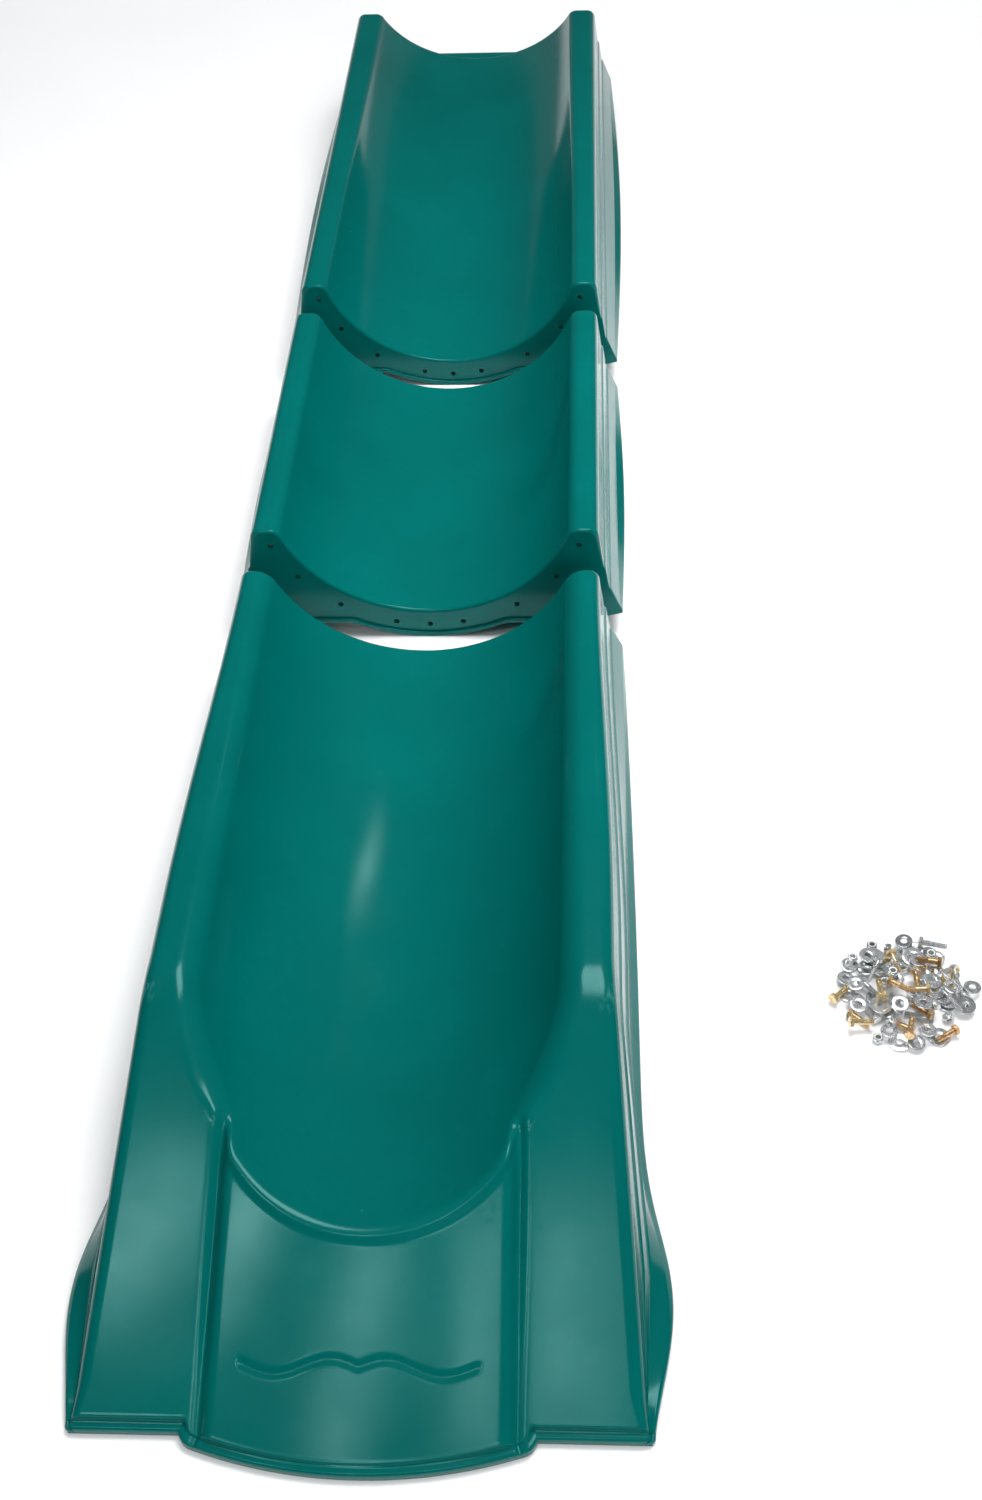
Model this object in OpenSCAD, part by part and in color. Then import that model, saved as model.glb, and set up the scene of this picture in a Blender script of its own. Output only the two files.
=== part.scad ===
// Three-section straight slide with its loose fixing kit, laid out in line on the ground.
// Millimetres. +Y runs up the slide, +Z is up, the ground is z = 0.
// The origin is the middle of the toe rim's ground face, on the slide's centre line.

/* [Section lengths] */
// Top section, from its flange face to its deck end
top_len = 1126; // [900:1:1300]
// Middle section, flange face to flange face
middle_len = 600; // [450:1:800]
// Exit section, from the toe reference to its flange face
exit_len = 1220; // [1150:1:1350]
// Open gap between the top and the middle section as laid out
upper_gap = 85; // [1:1:150]
// Open gap between the middle and the exit section as laid out
lower_gap = 88; // [1:1:150]

/* [Cross-section] */
// Height of the rail tops above the ground
rail_top = 205; // [190:1:220]
// Half width over the rails at the flanges
rail_half = 260; // [255:1:270]
// Radius of the rails' rounded edges
rail_round = 15; // [8:1:17]
// Height of the trough floor above the ground
trough_floor = 50; // [45:1:60]
// Half width of the trough's ellipse
trough_half = 230; // [225:1:235]
// Height of the ellipse's centre above the ground
trough_centre_z = 280; // [275:1:290]
// Moulded wall thickness
wall = 5; // [3:0.5:7]
// Thickness of the end plates
plate_t = 6; // [4:0.5:10]

/* [Skirts] */
// Half width over the feet of the skirts at the flanges
foot_half = 297; // [293:1:300]
// Height of the skirts' bottom edge above the ground at the flanges
foot_rise = 44; // [30:1:60]
// How far the feet of the middle and exit sections bow outwards at mid-length
foot_bow = 7; // [0:1:15]
// How far the feet of the top section bow outwards at mid-length
top_foot_bow = 14; // [0:1:25]
// Width of the flat band along the feet at mid-length
foot_band = 13; // [6:1:15]

/* [Top section] */
// Rise of the trough floor at the deck end
deck_rise = 52; // [0:1:70]
// How far the deck lip stands out past the deck end
lip_depth = 30; // [20:1:60]
// Width of the deck lip
lip_w = 230; // [160:1:300]
// Diameter of the screw holes in the deck lip
lip_hole_d = 6.5; // [5:0.5:8]
// Spacing of the two screw holes in the deck lip
lip_hole_span = 160; // [100:1:200]

/* [Exit section] */
// Distance from the toe at which the rails bend down
kink_y = 483; // [450:1:520]
// Fall of the front panels for each unit of length
front_slope = 0.422; // [0.41:0.001:0.43]
// Distance from the toe at which the trough floor starts to rise
curl_y = 600; // [560:1:700]
// Height of the trough floor at the exit lip
lip_z = 110; // [100:1:112]
// Distance of the exit lip's middle from the toe
exit_lip_y = 222; // [215:1:240]
// Half width of the centre apron
apron_half = 174; // [160:1:180]
// How far the centre apron stands proud of the side panels
apron_proud = 12; // [6:1:16]
// Depth of the arc along the bottom of the apron
apron_bulge = 28; // [15:1:40]
// Extra half width of the skirts at the heel
heel_flare = 31; // [0:1:35]
// Height of the rim along the front bottom edge
rim_h = 14; // [10:1:18]
// How far that rim stands out
rim_out = 7; // [4:1:10]

/* [Flange joints] */
// Radius of the arc on which the flange holes lie
hole_arc_r = 248; // [246:0.5:250]
// Height of that arc's centre above the ground
hole_arc_z = 270; // [269:0.5:272]
// Diameter of the flange holes
hole_d = 9; // [8.5:0.5:10]
// Depth of the locating ledge under each lower flange
ledge_depth = 4; // [2:0.5:5]
// Height of that ledge
ledge_h = 8; // [6:0.5:10]

/* [Fixing kit] */
// Nominal diameter of the flange bolts
bolt_d = 7.9; // [7.8:0.1:8]
// Length of a flange bolt under its head
bolt_len = 25.4; // [20:0.1:32]
// Distance across the flats of bolt heads and nuts
hex_af = 12.7; // [12:0.1:13]
// Outside diameter of the flat washers
washer_d = 22.2; // [18:0.1:24]
// Outside diameter of the wide washers
wide_washer_d = 28; // [25:0.5:30]
// Distance of the kit's middle from the slide's centre line
kit_x = 645; // [600:1:800]
// Distance of the kit's middle from the toe
kit_y = 623; // [500:1:800]
// Radius of the heap
kit_r = 84; // [84:1:95]

/* [Hidden] */

// Stations of the parts along Y
exit_top_y = exit_len;
middle_y0 = exit_top_y + lower_gap;
middle_y1 = middle_y0 + middle_len;
top_y0 = middle_y1 + upper_gap;
top_y1 = top_y0 + top_len;
side_front_y = 43;
apron_top_y = 345;

// Plan radius of the apron's bottom edge, which touches the toe reference at y = 0
apron_r = (pow(apron_half, 2) + pow(apron_bulge, 2)) / (2 * apron_bulge);
// Length over which the apron rises to its full height above the side panels
apron_blend = 55;

// The exit section's rails spread this much by the kink, then by this much per unit of length
rail_spread = 14;
rail_spread_len = 600;
front_spread = 0.073;
front_spread_y = 500;
front_spread_soft = 40;
// The trough narrows by this much over this length below the kink
trough_narrowing = 10;
trough_narrowing_len = 200;
// Spread of the exit section's feet, and the place and length of the flare at their heel
foot_spread = 7;
heel_y = 190;
heel_len = 130;
// Below this station the exit section's feet are on the ground
foot_down_y = 450;
// The rim's height takes over from the foot's edge ahead of this station
rim_start_y = 330;
rim_blend = 60;

// Flat part of the plates' bottom edges, beside the belly
rim_flat_x = 230;
flange_rim_z = 27;
foot_edge_h = 6;
// Width of the band along the feet at the flanges
end_band = 5;
// Steps of a skirt: distance out from the rail, and height as a share of the skirt's
OUTER_STEPS = [[19, 0.36], [16, 0.38], [10, 0.64], [7, 0.66]];
INNER_STEPS = [[14, 0.37], [7, 0.65]];

// Upper flanges end this much higher, so that the ledge of the section above passes under them
plate_low = ledge_h + 0.5;

// Angles of the nine flange holes, measured from straight down
HOLE_ANGLES = [-68, -52, -33, -12, 0, 12, 33, 52, 68];
BELLY_ARC = 34;
BELLY_STEPS = 8;
EPS = 0.5;
DEEP = 40;
ARC_STEPS = 4;
TROUGH_STEPS = 14;

function smooth(t) = let(u = min(1, max(0, t))) u * u * (3 - 2 * u);
// Zero below -w, u above w, and a smooth curve between
function soft_positive(u, w) = u < -w ? 0 : u > w ? u : (u + w) * (u + w) / (4 * w);
// A closed outline from its right half
function mirror_half(half) = concat(half,
    [for (i = [len(half) - 1 : -1 : 0]) if (half[i][0] > 0) [-half[i][0], half[i][1]]]);
function to_3d(ring, y) = [for (p = ring) [p[0], y, p[1]]];

// A closed skin through rings of equal length; each ring is star-shaped about its centre point
module loft(rings, centres) {
    n = len(rings[0]);
    last = len(rings) - 1;
    points = concat([for (r = rings) for (p = r) p], [centres[0], centres[1]]);
    first_centre = n * (last + 1);
    sides = [for (k = [0 : last - 1]) for (i = [0 : n - 1]) for (half = [0, 1])
        let(a = k * n + i, b = k * n + (i + 1) % n)
        half == 0 ? [a, b, a + n] : [b, b + n, a + n]];
    first_cap = [for (i = [0 : n - 1]) [(i + 1) % n, i, first_centre]];
    last_cap = [for (i = [0 : n - 1]) [last * n + i, last * n + (i + 1) % n, first_centre + 1]];
    polyhedron(points, concat(sides, first_cap, last_cap), convexity = 10);
}

// ---- Outline of the mouldings -------------------------------------------------

// Half width of the foot, and width of the band along it
function straight_foot(y, y0, y1, bow) = foot_half + bow * sin(180 * (y - y0) / (y1 - y0));
function straight_band(y, y0, y1) =
    end_band + (foot_band - end_band) * sin(180 * (y - y0) / (y1 - y0));
function exit_foot(y) = foot_half + foot_spread * (1 - y / exit_len)
    + foot_bow * sin(180 * y / exit_len) + heel_flare * exp(-pow((y - heel_y) / heel_len, 2));
// Half width over the rails, height of the shoulder and height of the foot of the exit section
function exit_rail(y) = rail_half + rail_spread * smooth((exit_len - y) / rail_spread_len)
    + front_spread * soft_positive(front_spread_y - y, front_spread_soft);
function exit_shoulder(y) = rail_top - front_slope * max(0, kink_y - y);
function exit_foot_z(y) = foot_rise * smooth((y - foot_down_y) / (exit_len - foot_down_y));

// Right half of the outside outline, from the foot up over the rail
function shoulder_outline(rail_x, top_z, foot_x, foot_z, edge_h, band) =
    let(round = min(rail_round, (top_z - foot_z) / 2), z1 = top_z - round, h = z1 - foot_z,
        edge = min(edge_h, 0.06 * h + 4), ledge = edge + min(1 + band / 4, 0.1 * h),
        wall_x = foot_x - min(band, foot_x - rail_x - 2))
    concat(
        [[foot_x, foot_z], [foot_x, foot_z + edge], [wall_x, foot_z + ledge]],
        [for (s = OUTER_STEPS) [min(rail_x + s[0], wall_x - 2 + s[0] / 12),
            foot_z + max(ledge + 0.3 + s[1], s[1] * h)]],
        [for (i = [0 : ARC_STEPS]) let(a = 90 * i / ARC_STEPS)
            [rail_x - round + round * cos(a), z1 + round * sin(a)]]);

// Underside of an end plate, from the middle outwards, dipping round the belly
function belly_outline(low_z, flat_z) = [for (i = [0 : BELLY_STEPS])
    let(a = BELLY_ARC * i / BELLY_STEPS, r = hole_arc_z - low_z)
    [r * sin(a), min(flat_z, hole_arc_z - r * cos(a))]];

// Closed outline of a solid block with the outside shape of a moulding
function block_ring(rail_x, top_z, foot_x, foot_z, low_z, flat_z, edge_h, band) =
    mirror_half(concat(belly_outline(low_z, flat_z), [[rim_flat_x, min(flat_z, foot_z)]],
        shoulder_outline(rail_x, top_z, foot_x, foot_z, edge_h, band)));

// Closed outline of the space under a moulding, one wall thickness inside the block
function core_ring(rail_x, top_z, foot_x, foot_z, band) =
    let(r = rail_round - wall, z1 = top_z - wall - r, h = max(1, z1 - foot_z), x = rail_x - wall,
        foot_in = foot_x - wall - min(band, foot_x - rail_x - 2))
    mirror_half(concat(
        [[0, -DEEP], [foot_in, -DEEP], [foot_in, min(z1 - 3, foot_z + foot_edge_h)]],
        [for (s = INNER_STEPS) [min(x + s[0], foot_in - s[1]),
            foot_z + max(min(h - 1, foot_edge_h + s[1]), s[1] * h)]],
        [for (i = [0 : ARC_STEPS]) let(a = 90 * i / ARC_STEPS)
            [x - r + r * cos(a), z1 + r * sin(a)]]));

// Closed outline of the trough; grow = 0 is the sliding surface, grow = wall is its underside
function trough_ring(half_w, floor_z, grow) = mirror_half([for (i = [0 : TROUGH_STEPS])
    let(a = 90 * i / TROUGH_STEPS)
    [(half_w + grow) * sin(a), trough_centre_z - (trough_centre_z - floor_z + grow) * cos(a)]]);

function steps_between(a, b, n) = [for (i = [0 : n]) a + (b - a) * i / n];

// ---- Straight sections --------------------------------------------------------

// low0 and low1 are the heights of the plates' bottom edges at the two ends
module straight_block(y0, y1, low0, low1, bow) {
    ys = steps_between(y0, y1, 10);
    loft([for (y = ys) let(t = (y - y0) / (y1 - y0), low = low0 + (low1 - low0) * t)
        to_3d(block_ring(rail_half, rail_top, straight_foot(y, y0, y1, bow), foot_rise, low,
            flange_rim_z + low, foot_edge_h, straight_band(y, y0, y1)), y)],
        [[0, y0, rail_top / 2], [0, y1, rail_top / 2]]);
}

module straight_core(y0, y1, bow) {
    ys = steps_between(y0 + plate_t, y1 - plate_t, 10);
    loft([for (y = ys) to_3d(core_ring(rail_half, rail_top, straight_foot(y, y0, y1, bow),
            foot_rise, straight_band(y, y0, y1)), y)],
        [[0, y0 + plate_t, rail_top / 2], [0, y1 - plate_t, rail_top / 2]]);
}

// rise is how much the floor climbs towards y1
module straight_trough(y0, y1, rise, grow) {
    ys = steps_between(y0 - EPS, y1 + EPS, rise > 0 ? 10 : 1);
    loft([for (y = ys)
        to_3d(trough_ring(trough_half, trough_floor + rise * smooth((y - y0) / (y1 - y0)), grow), y)],
        [[0, y0 - EPS, rail_top], [0, y1 + EPS, rail_top]]);
}

module straight_shell(y0, y1, low0, low1, rise, bow) {
    difference() {
        straight_block(y0, y1, low0, low1, bow);
        straight_trough(y0, y1, rise, 0);
        difference() {
            straight_core(y0, y1, bow);
            straight_trough(y0, y1, rise, wall);
        }
    }
}

// ---- Flange joints ------------------------------------------------------------

module flange_holes(y) {
    for (a = HOLE_ANGLES)
        translate([hole_arc_r * sin(a), y, hole_arc_z - hole_arc_r * cos(a)])
            rotate([90, 0, 0]) cylinder(d = hole_d, h = 4 * plate_t, center = true, $fn = 32);
}

// Ledge along the bottom of a lower flange, on which the next section's flange sits
module locating_ledge(y) {
    low = concat(belly_outline(0, flange_rim_z), [[rim_flat_x, flange_rim_z]]);
    high = concat(belly_outline(ledge_h, flange_rim_z + ledge_h), [[rim_flat_x, flange_rim_z + ledge_h]]);
    right = concat(low, [for (i = [len(high) - 1 : -1 : 0]) high[i]]);
    for (side = [0, 1]) mirror([side, 0, 0])
        translate([0, y + 1, 0]) rotate([90, 0, 0])
            linear_extrude(ledge_depth + 1) polygon(right);
}

// ---- Exit section -------------------------------------------------------------

function exit_trough_half(y) = trough_half
    - trough_narrowing * smooth((kink_y - y) / trough_narrowing_len);
function exit_band(y) = straight_band(y, 0, exit_len) - 3;
function exit_floor(y) = trough_floor
    + (lip_z - trough_floor) * pow(max(0, curl_y - y) / (curl_y - exit_lip_y), 2);

EXIT_STATIONS = concat([side_front_y, 90, 140, 190, 240, 290, 340, 390, 440, kink_y - 12, kink_y + 12],
    steps_between(560, exit_len, 6));

module exit_block() {
    loft([for (y = EXIT_STATIONS)
        let(fz = exit_foot_z(y), low = min(plate_low, fz), t = smooth((rim_start_y - y) / rim_blend))
        to_3d(block_ring(exit_rail(y), exit_shoulder(y), exit_foot(y), fz, low,
            min(flange_rim_z + plate_low, fz), foot_edge_h + (rim_h - foot_edge_h) * t,
            exit_band(y)), y)],
        [[0, side_front_y, 8], [0, exit_len, rail_top / 2]]);
}

module exit_core() {
    ys = [for (i = [0 : len(EXIT_STATIONS) - 1]) let(y = EXIT_STATIONS[i])
        i == 0 ? y + wall : i == len(EXIT_STATIONS) - 1 ? y - plate_t : y];
    loft([for (y = ys)
        to_3d(core_ring(exit_rail(y), exit_shoulder(y), exit_foot(y), exit_foot_z(y), exit_band(y)), y)],
        [[0, ys[0], 0], [0, ys[len(ys) - 1], rail_top / 2]]);
}

module exit_trough(grow) {
    ys = [150, 190, 222, 260, 290, 320, 350, 390, 430, 470, 510, 550, curl_y, exit_len + EPS];
    loft([for (y = ys) to_3d(trough_ring(exit_trough_half(y), exit_floor(y), grow), y)],
        [[0, ys[0], rail_top], [0, exit_len + EPS, rail_top]]);
}

// Panel between the side panels, proud of them, with its bottom edge bowed in an arc
module apron(inset) {
    top_y = apron_top_y - inset;
    proud = apron_proud / cos(atan(front_slope));
    full_y = top_y - apron_blend;
    front_y = -rim_out - wall;
    raised = [[top_y, exit_shoulder(top_y) - inset], [full_y, exit_shoulder(full_y) + proud - inset],
        [front_y, exit_shoulder(front_y) + proud - inset]];
    intersection() {
        translate([-apron_half + inset, 0, 0]) rotate([90, 0, 90])
            linear_extrude(2 * (apron_half - inset))
                polygon(concat(raised, [[front_y, -inset * DEEP], [top_y, -inset * DEEP]]));
        translate([0, apron_r, -DEEP]) cylinder(r = apron_r - inset, h = 2 * rail_top, $fn = 360);
    }
}

// Rim along the front bottom edge: a straight bar each side and an arc under the apron
module front_rim() {
    bar_x = apron_half - wall;
    for (side = [0, 1]) mirror([side, 0, 0])
        translate([bar_x, side_front_y - rim_out, 0])
            cube([exit_foot(side_front_y) - bar_x, rim_out + wall, rim_h]);
    intersection() {
        translate([0, apron_r, 0]) difference() {
            cylinder(r = apron_r + rim_out, h = rim_h, $fn = 360);
            translate([0, 0, -EPS]) cylinder(r = apron_r - wall, h = rim_h + 2 * EPS, $fn = 360);
        }
        translate([-apron_half - rim_out, -2 * rim_out, 0])
            cube([2 * (apron_half + rim_out), side_front_y + 2 * rim_out + wall, rim_h]);
    }
}

module exit_section() {
    color("teal") difference() {
        union() {
            difference() {
                union() {
                    exit_block();
                    apron(0);
                }
                difference() {
                    union() {
                        exit_core();
                        apron(wall);
                    }
                    exit_trough(wall);
                }
            }
            front_rim();
        }
        exit_trough(0);
        flange_holes(exit_len);
    }
}

module middle_section() {
    color("teal") difference() {
        union() {
            straight_shell(middle_y0, middle_y1, 0, plate_low, 0, foot_bow);
            locating_ledge(middle_y0);
        }
        flange_holes(middle_y0);
        flange_holes(middle_y1);
    }
}

// The deck lip is a flat tab at the deck end, screwed down on the deck's edge
module deck_lip() {
    lip_top = trough_floor + deck_rise - 2;
    difference() {
        translate([-lip_w / 2, top_y1 - plate_t / 2, lip_top - plate_t])
            cube([lip_w, lip_depth + plate_t / 2, plate_t]);
        for (side = [-1, 1])
            translate([side * lip_hole_span / 2, top_y1 + lip_depth / 2, lip_top - 2 * plate_t])
                cylinder(d = lip_hole_d, h = 3 * plate_t, $fn = 32);
    }
}

module top_section() {
    color("teal") difference() {
        union() {
            straight_shell(top_y0, top_y1, 0, 0, deck_rise, top_foot_bow);
            locating_ledge(top_y0);
            deck_lip();
        }
        flange_holes(top_y0);
    }
}

// ---- Fixing kit ---------------------------------------------------------------

// Kinds of piece in the heap, with how many of each: the order is the order in COUNTS
BOLT = 0;
SILVER = 1;
NUT = 2;
WASHER = 3;
WIDE = 4;
SCREW = 5;
COUNTS = [18, 6, 18, 36, 8, 6];
KIT_N = 92;
SHUFFLE = 37;

hex_corner_r = hex_af / 2 / cos(30);
head_h = 5.3;
bolt_tilt = asin((hex_af - bolt_d) / 2 / bolt_len);
silver_len = bolt_len + 6;
silver_tilt = asin((hex_af - bolt_d) / 2 / silver_len);
nut_h = 6.8;
collar_h = 1.7;
collar_d = 11.6;
insert_d = 10;
insert_hole_d = 7.4;
washer_t = 1.8;
washer_hole_d = 8.8;
wide_t = 1.9;
screw_d = 4.2;
screw_len = 38;
screw_head_d = 11;
screw_head_h = 2.6;
screw_tilt = asin((screw_head_d - screw_d) / 2 / screw_len);
stack_gap = 0.25;
mound_h = 22;
TRIALS = 24;
REACH = 44;

function kind_of(k, kind = 0) = k < COUNTS[kind] ? kind : kind_of(k - COUNTS[kind], kind + 1);
function part_of(x) = x - floor(x);
// Washers lie at a slight tilt that differs from one to the next
function lean_of(i) = 3 + 6 * part_of(i * 0.731);
function on_edge(i) = i % 3 == 0;

// Upright cylinders that hold a piece, each [along, radius, top], with the ground at 0
function shank_cover(first, last, radius, top0, top1) = [for (i = [0 : 3])
    [first + (last - first) * i / 3, radius, top0 + (top1 - top0) * i / 3]];
function cover_of(kind, i) =
    kind == BOLT ? concat([[-bolt_len / 2 - 2.2, 8, hex_af + 0.6]],
        shank_cover(-bolt_len / 2 + 5, bolt_len / 2 - 3, 5.2, 11, 8.6)) :
    kind == SILVER ? concat([[-silver_len / 2 - 2.2, 8, hex_af + 0.6]],
        shank_cover(-silver_len / 2 + 6, silver_len / 2 - 3, 5.8, 11, 8.6)) :
    kind == NUT ? [[0, on_edge(i) ? 8.6 : hex_corner_r + 0.1, on_edge(i) ? hex_af : nut_h + collar_h]] :
    kind == WASHER ? [[0, washer_d / 2, washer_t + washer_d * sin(lean_of(i))]] :
    kind == WIDE ? [[0, wide_washer_d / 2, wide_t + wide_washer_d * sin(lean_of(i))]] :
    concat([[-screw_len / 2 - 1, screw_head_d / 2 + 0.6, screw_head_d + 0.4]],
        shank_cover(-screw_len / 2 + 5, screw_len / 2 - 2, 6.2, 8.5, 4.6));

// Trial place and turn number t: a golden-angle spiral with its radius spread evenly
function place_of(t) =
    let(r = kit_r * pow(part_of(0.35 + t * 0.7548777), 0.55), a = t * 137.508)
    [r * cos(a), r * sin(a)];
function turn_of(t) = 360 * part_of(t * 0.5698403);

function cover_at(i, kind, t) = let(p = place_of(t), a = turn_of(t))
    [for (c = cover_of(kind, i)) [p[0] + c[0] * cos(a), p[1] + c[0] * sin(a), c[1], c[2]]];

// Height at which a piece comes to rest on the pieces already in the heap
function rest_height(cover, place, settled) = max(concat([0],
    [for (s = settled) if (norm(place - s[2]) < REACH) for (b = s[1]) for (a = cover)
        if (norm([a[0] - b[0], a[1] - b[1]]) < a[2] + b[2]) s[0] + b[3] + stack_gap]));

// Each piece takes the lowest of a few trial places, the rim of the heap counting as higher
function trial(i, t, settled) =
    let(place = place_of(t), cover = cover_at(i, kind_of(i * SHUFFLE % KIT_N), t),
        z = rest_height(cover, place, settled))
    [z, cover, place, turn_of(t), z + mound_h * pow(norm(place) / kit_r, 2)];
function lowest(trials, best = 0, k = 1) = k == len(trials) ? trials[best] :
    lowest(trials, trials[k][4] < trials[best][4] ? k : best, k + 1);
function heap(i = 0, settled = []) = i == KIT_N ? settled :
    heap(i + 1, concat(settled, [lowest([for (c = [1 : TRIALS]) trial(i, i * TRIALS + c, settled)])]));
HEAP = heap();

// Puts its child at every place in the heap that holds this kind of piece
module in_heap(kind) {
    for (i = [0 : KIT_N - 1])
        if (kind_of(i * SHUFFLE % KIT_N) == kind) {
            $piece = i;
            p = HEAP[i][2];
            translate([kit_x + p[0], kit_y + p[1], HEAP[i][0]]) rotate([0, 0, HEAP[i][3]]) children();
        }
}

// A headed fastener lying down: its head's lowest side and its tip both touch the ground
module lying(length, tilt, head_half) {
    translate([-length / 2, 0, head_half]) rotate([0, tilt, 0]) rotate([0, 90, 0]) children();
}

module hex_bolt(length) {
    cylinder(d = bolt_d, h = length, $fn = 24);
    translate([0, 0, -head_h]) rotate([0, 0, 30]) cylinder(r = hex_corner_r, h = head_h + EPS / 5, $fn = 6);
}

module flange_bolts() {
    color("goldenrod") in_heap(BOLT) lying(bolt_len, bolt_tilt, hex_af / 2) hex_bolt(bolt_len);
}

module machine_bolts() {
    color("silver") in_heap(SILVER) lying(silver_len, silver_tilt, hex_af / 2) hex_bolt(silver_len);
}

// Every third nut stands on one of its flats, the others lie face down
module nut_pose() {
    if (on_edge($piece)) translate([-nut_h / 2, 0, hex_af / 2]) rotate([0, 90, 0]) children();
    else children();
}

module lock_nut() {
    difference() {
        union() {
            rotate([0, 0, 30]) cylinder(r = hex_corner_r, h = nut_h, $fn = 6);
            translate([0, 0, nut_h - EPS]) cylinder(d = collar_d, h = collar_h + EPS, $fn = 32);
        }
        translate([0, 0, -EPS]) cylinder(d = bolt_d, h = nut_h + 2 * EPS, $fn = 24);
        translate([0, 0, nut_h]) cylinder(d = insert_d, h = collar_h + EPS, $fn = 32);
    }
}

module lock_nuts() {
    color("lightgray") in_heap(NUT) nut_pose() lock_nut();
}

module nut_inserts() {
    color("white") in_heap(NUT) nut_pose() translate([0, 0, nut_h]) difference() {
        cylinder(d = insert_d, h = collar_h - 0.2, $fn = 32);
        translate([0, 0, -EPS]) cylinder(d = insert_hole_d, h = collar_h + EPS, $fn = 24);
    }
}

module washer(outer, hole, thick) {
    lean = lean_of($piece);
    translate([0, 0, outer / 2 * sin(lean)]) rotate([0, lean, 0]) difference() {
        cylinder(d = outer, h = thick, $fn = 48);
        translate([0, 0, -EPS]) cylinder(d = hole, h = thick + 2 * EPS, $fn = 32);
    }
}

module flat_washers() {
    color("silver") in_heap(WASHER) washer(washer_d, washer_hole_d, washer_t);
}

module wide_washers() {
    color("silver") in_heap(WIDE) washer(wide_washer_d, washer_hole_d, wide_t);
}

module deck_screws() {
    color("gainsboro") in_heap(SCREW) lying(screw_len, screw_tilt, screw_head_d / 2) {
        translate([0, 0, -screw_head_h]) cylinder(d = screw_head_d, h = screw_head_h, $fn = 32);
        translate([0, 0, -EPS]) cylinder(d = screw_d, h = screw_len + EPS, $fn = 24);
    }
}

exit_section();
middle_section();
top_section();
flange_bolts();
machine_bolts();
lock_nuts();
nut_inserts();
flat_washers();
wide_washers();
deck_screws();
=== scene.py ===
import math

import bmesh
import bpy
import numpy as np
from mathutils import Matrix, Vector
from mathutils.geometry import delaunay_2d_cdt


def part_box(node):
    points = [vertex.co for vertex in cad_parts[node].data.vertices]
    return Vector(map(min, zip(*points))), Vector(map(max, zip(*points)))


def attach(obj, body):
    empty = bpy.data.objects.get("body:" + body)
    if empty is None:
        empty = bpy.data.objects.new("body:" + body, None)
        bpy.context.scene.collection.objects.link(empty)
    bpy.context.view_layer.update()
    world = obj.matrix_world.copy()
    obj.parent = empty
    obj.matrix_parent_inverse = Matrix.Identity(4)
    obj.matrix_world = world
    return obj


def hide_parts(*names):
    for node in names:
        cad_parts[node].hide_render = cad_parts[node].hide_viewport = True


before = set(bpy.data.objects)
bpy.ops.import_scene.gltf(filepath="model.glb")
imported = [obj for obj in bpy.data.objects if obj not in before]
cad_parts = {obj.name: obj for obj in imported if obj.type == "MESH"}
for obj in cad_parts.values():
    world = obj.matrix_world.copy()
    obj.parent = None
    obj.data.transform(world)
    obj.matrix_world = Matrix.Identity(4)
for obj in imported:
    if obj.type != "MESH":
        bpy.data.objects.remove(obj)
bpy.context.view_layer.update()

MM = 0.001

# ---- Stations and sizes, from the frame ----------------------------------------


def box_mm(node):
    low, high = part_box(node)
    return np.array(low) / MM, np.array(high) / MM


LEDGE_DEPTH = 4.0
LEDGE_H = 8.0
LIP_DEPTH = 30.0
EXIT_Y1 = box_mm("exit_section")[1][1]
RAIL_TOP = box_mm("exit_section")[1][2]
MIDDLE_Y0 = box_mm("middle_section")[0][1] + LEDGE_DEPTH
MIDDLE_Y1 = box_mm("middle_section")[1][1]
TOP_Y0 = box_mm("top_section")[0][1] + LEDGE_DEPTH
TOP_Y1 = box_mm("top_section")[1][1] - LIP_DEPTH

# Cross-section shared by the three mouldings
RAIL_HALF = 260.0
EDGE_R = 17.0
INNER_EDGE_R = 20.0
LIP_EDGE_R = 5.5
TROUGH_HALF = 230.0
TROUGH_FLOOR = 50.0
TROUGH_Z = 280.0
WALL = 5.0
PLATE_T = 6.0
END_R = 5.0
SKIRT_END_R = 1.2
ROLL_BELOW_TOP = 45.0
ROLL_BELOW_LEN = 25.0
ROLL_FROM_RAIL = 10.0
ROLL_FROM_LEN = 20.0
PLATE_FOLD = 4.0

# Skirts
FOOT_HALF = 297.0
FOOT_Z = 44.0
FOOT_BOW = 7.0
TOP_FOOT_BOW = 14.0
FOOT_EDGE_H = 6.0
END_BAND = 5.0
FOOT_BAND = 13.0
DECK_RISE = 52.0
SKIRT_FULL_H = 60.0
# (out from the rail, share of the height, drop) at the corners of the skirt's two steps
OUTER_STEPS = ((7, 0.62, 0), (10, 0.60, 1), (16, 0.32, 0), (19, 0.30, 1))
# (out from the rail, inset from the foot, share of the height)
INNER_STEPS = ((7, 0.65, 0.65), (14, 0.37, 0.37), (16, 0.2, 0.33))
SKIRT_LOW_SHARE = 0.05
SKIRT_RADII = (1.6, 1.6, 1.6, 1.6, 2.0, 1.5, 1.5)

# Flanges
HOLE_ARC_R = 248.0
HOLE_ARC_Z = 270.0
HOLE_D = 9.0
HOLE_SIDES = 32
HOLE_ANGLES = (-68, -52, -33, -12, 0, 12, 33, 52, 68)
PLATE_FLAT = 27.0
PLATE_HALF = 230.0
BELLY_HALF = 150.0
PLATE_LOW = LEDGE_H + 0.5

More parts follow.
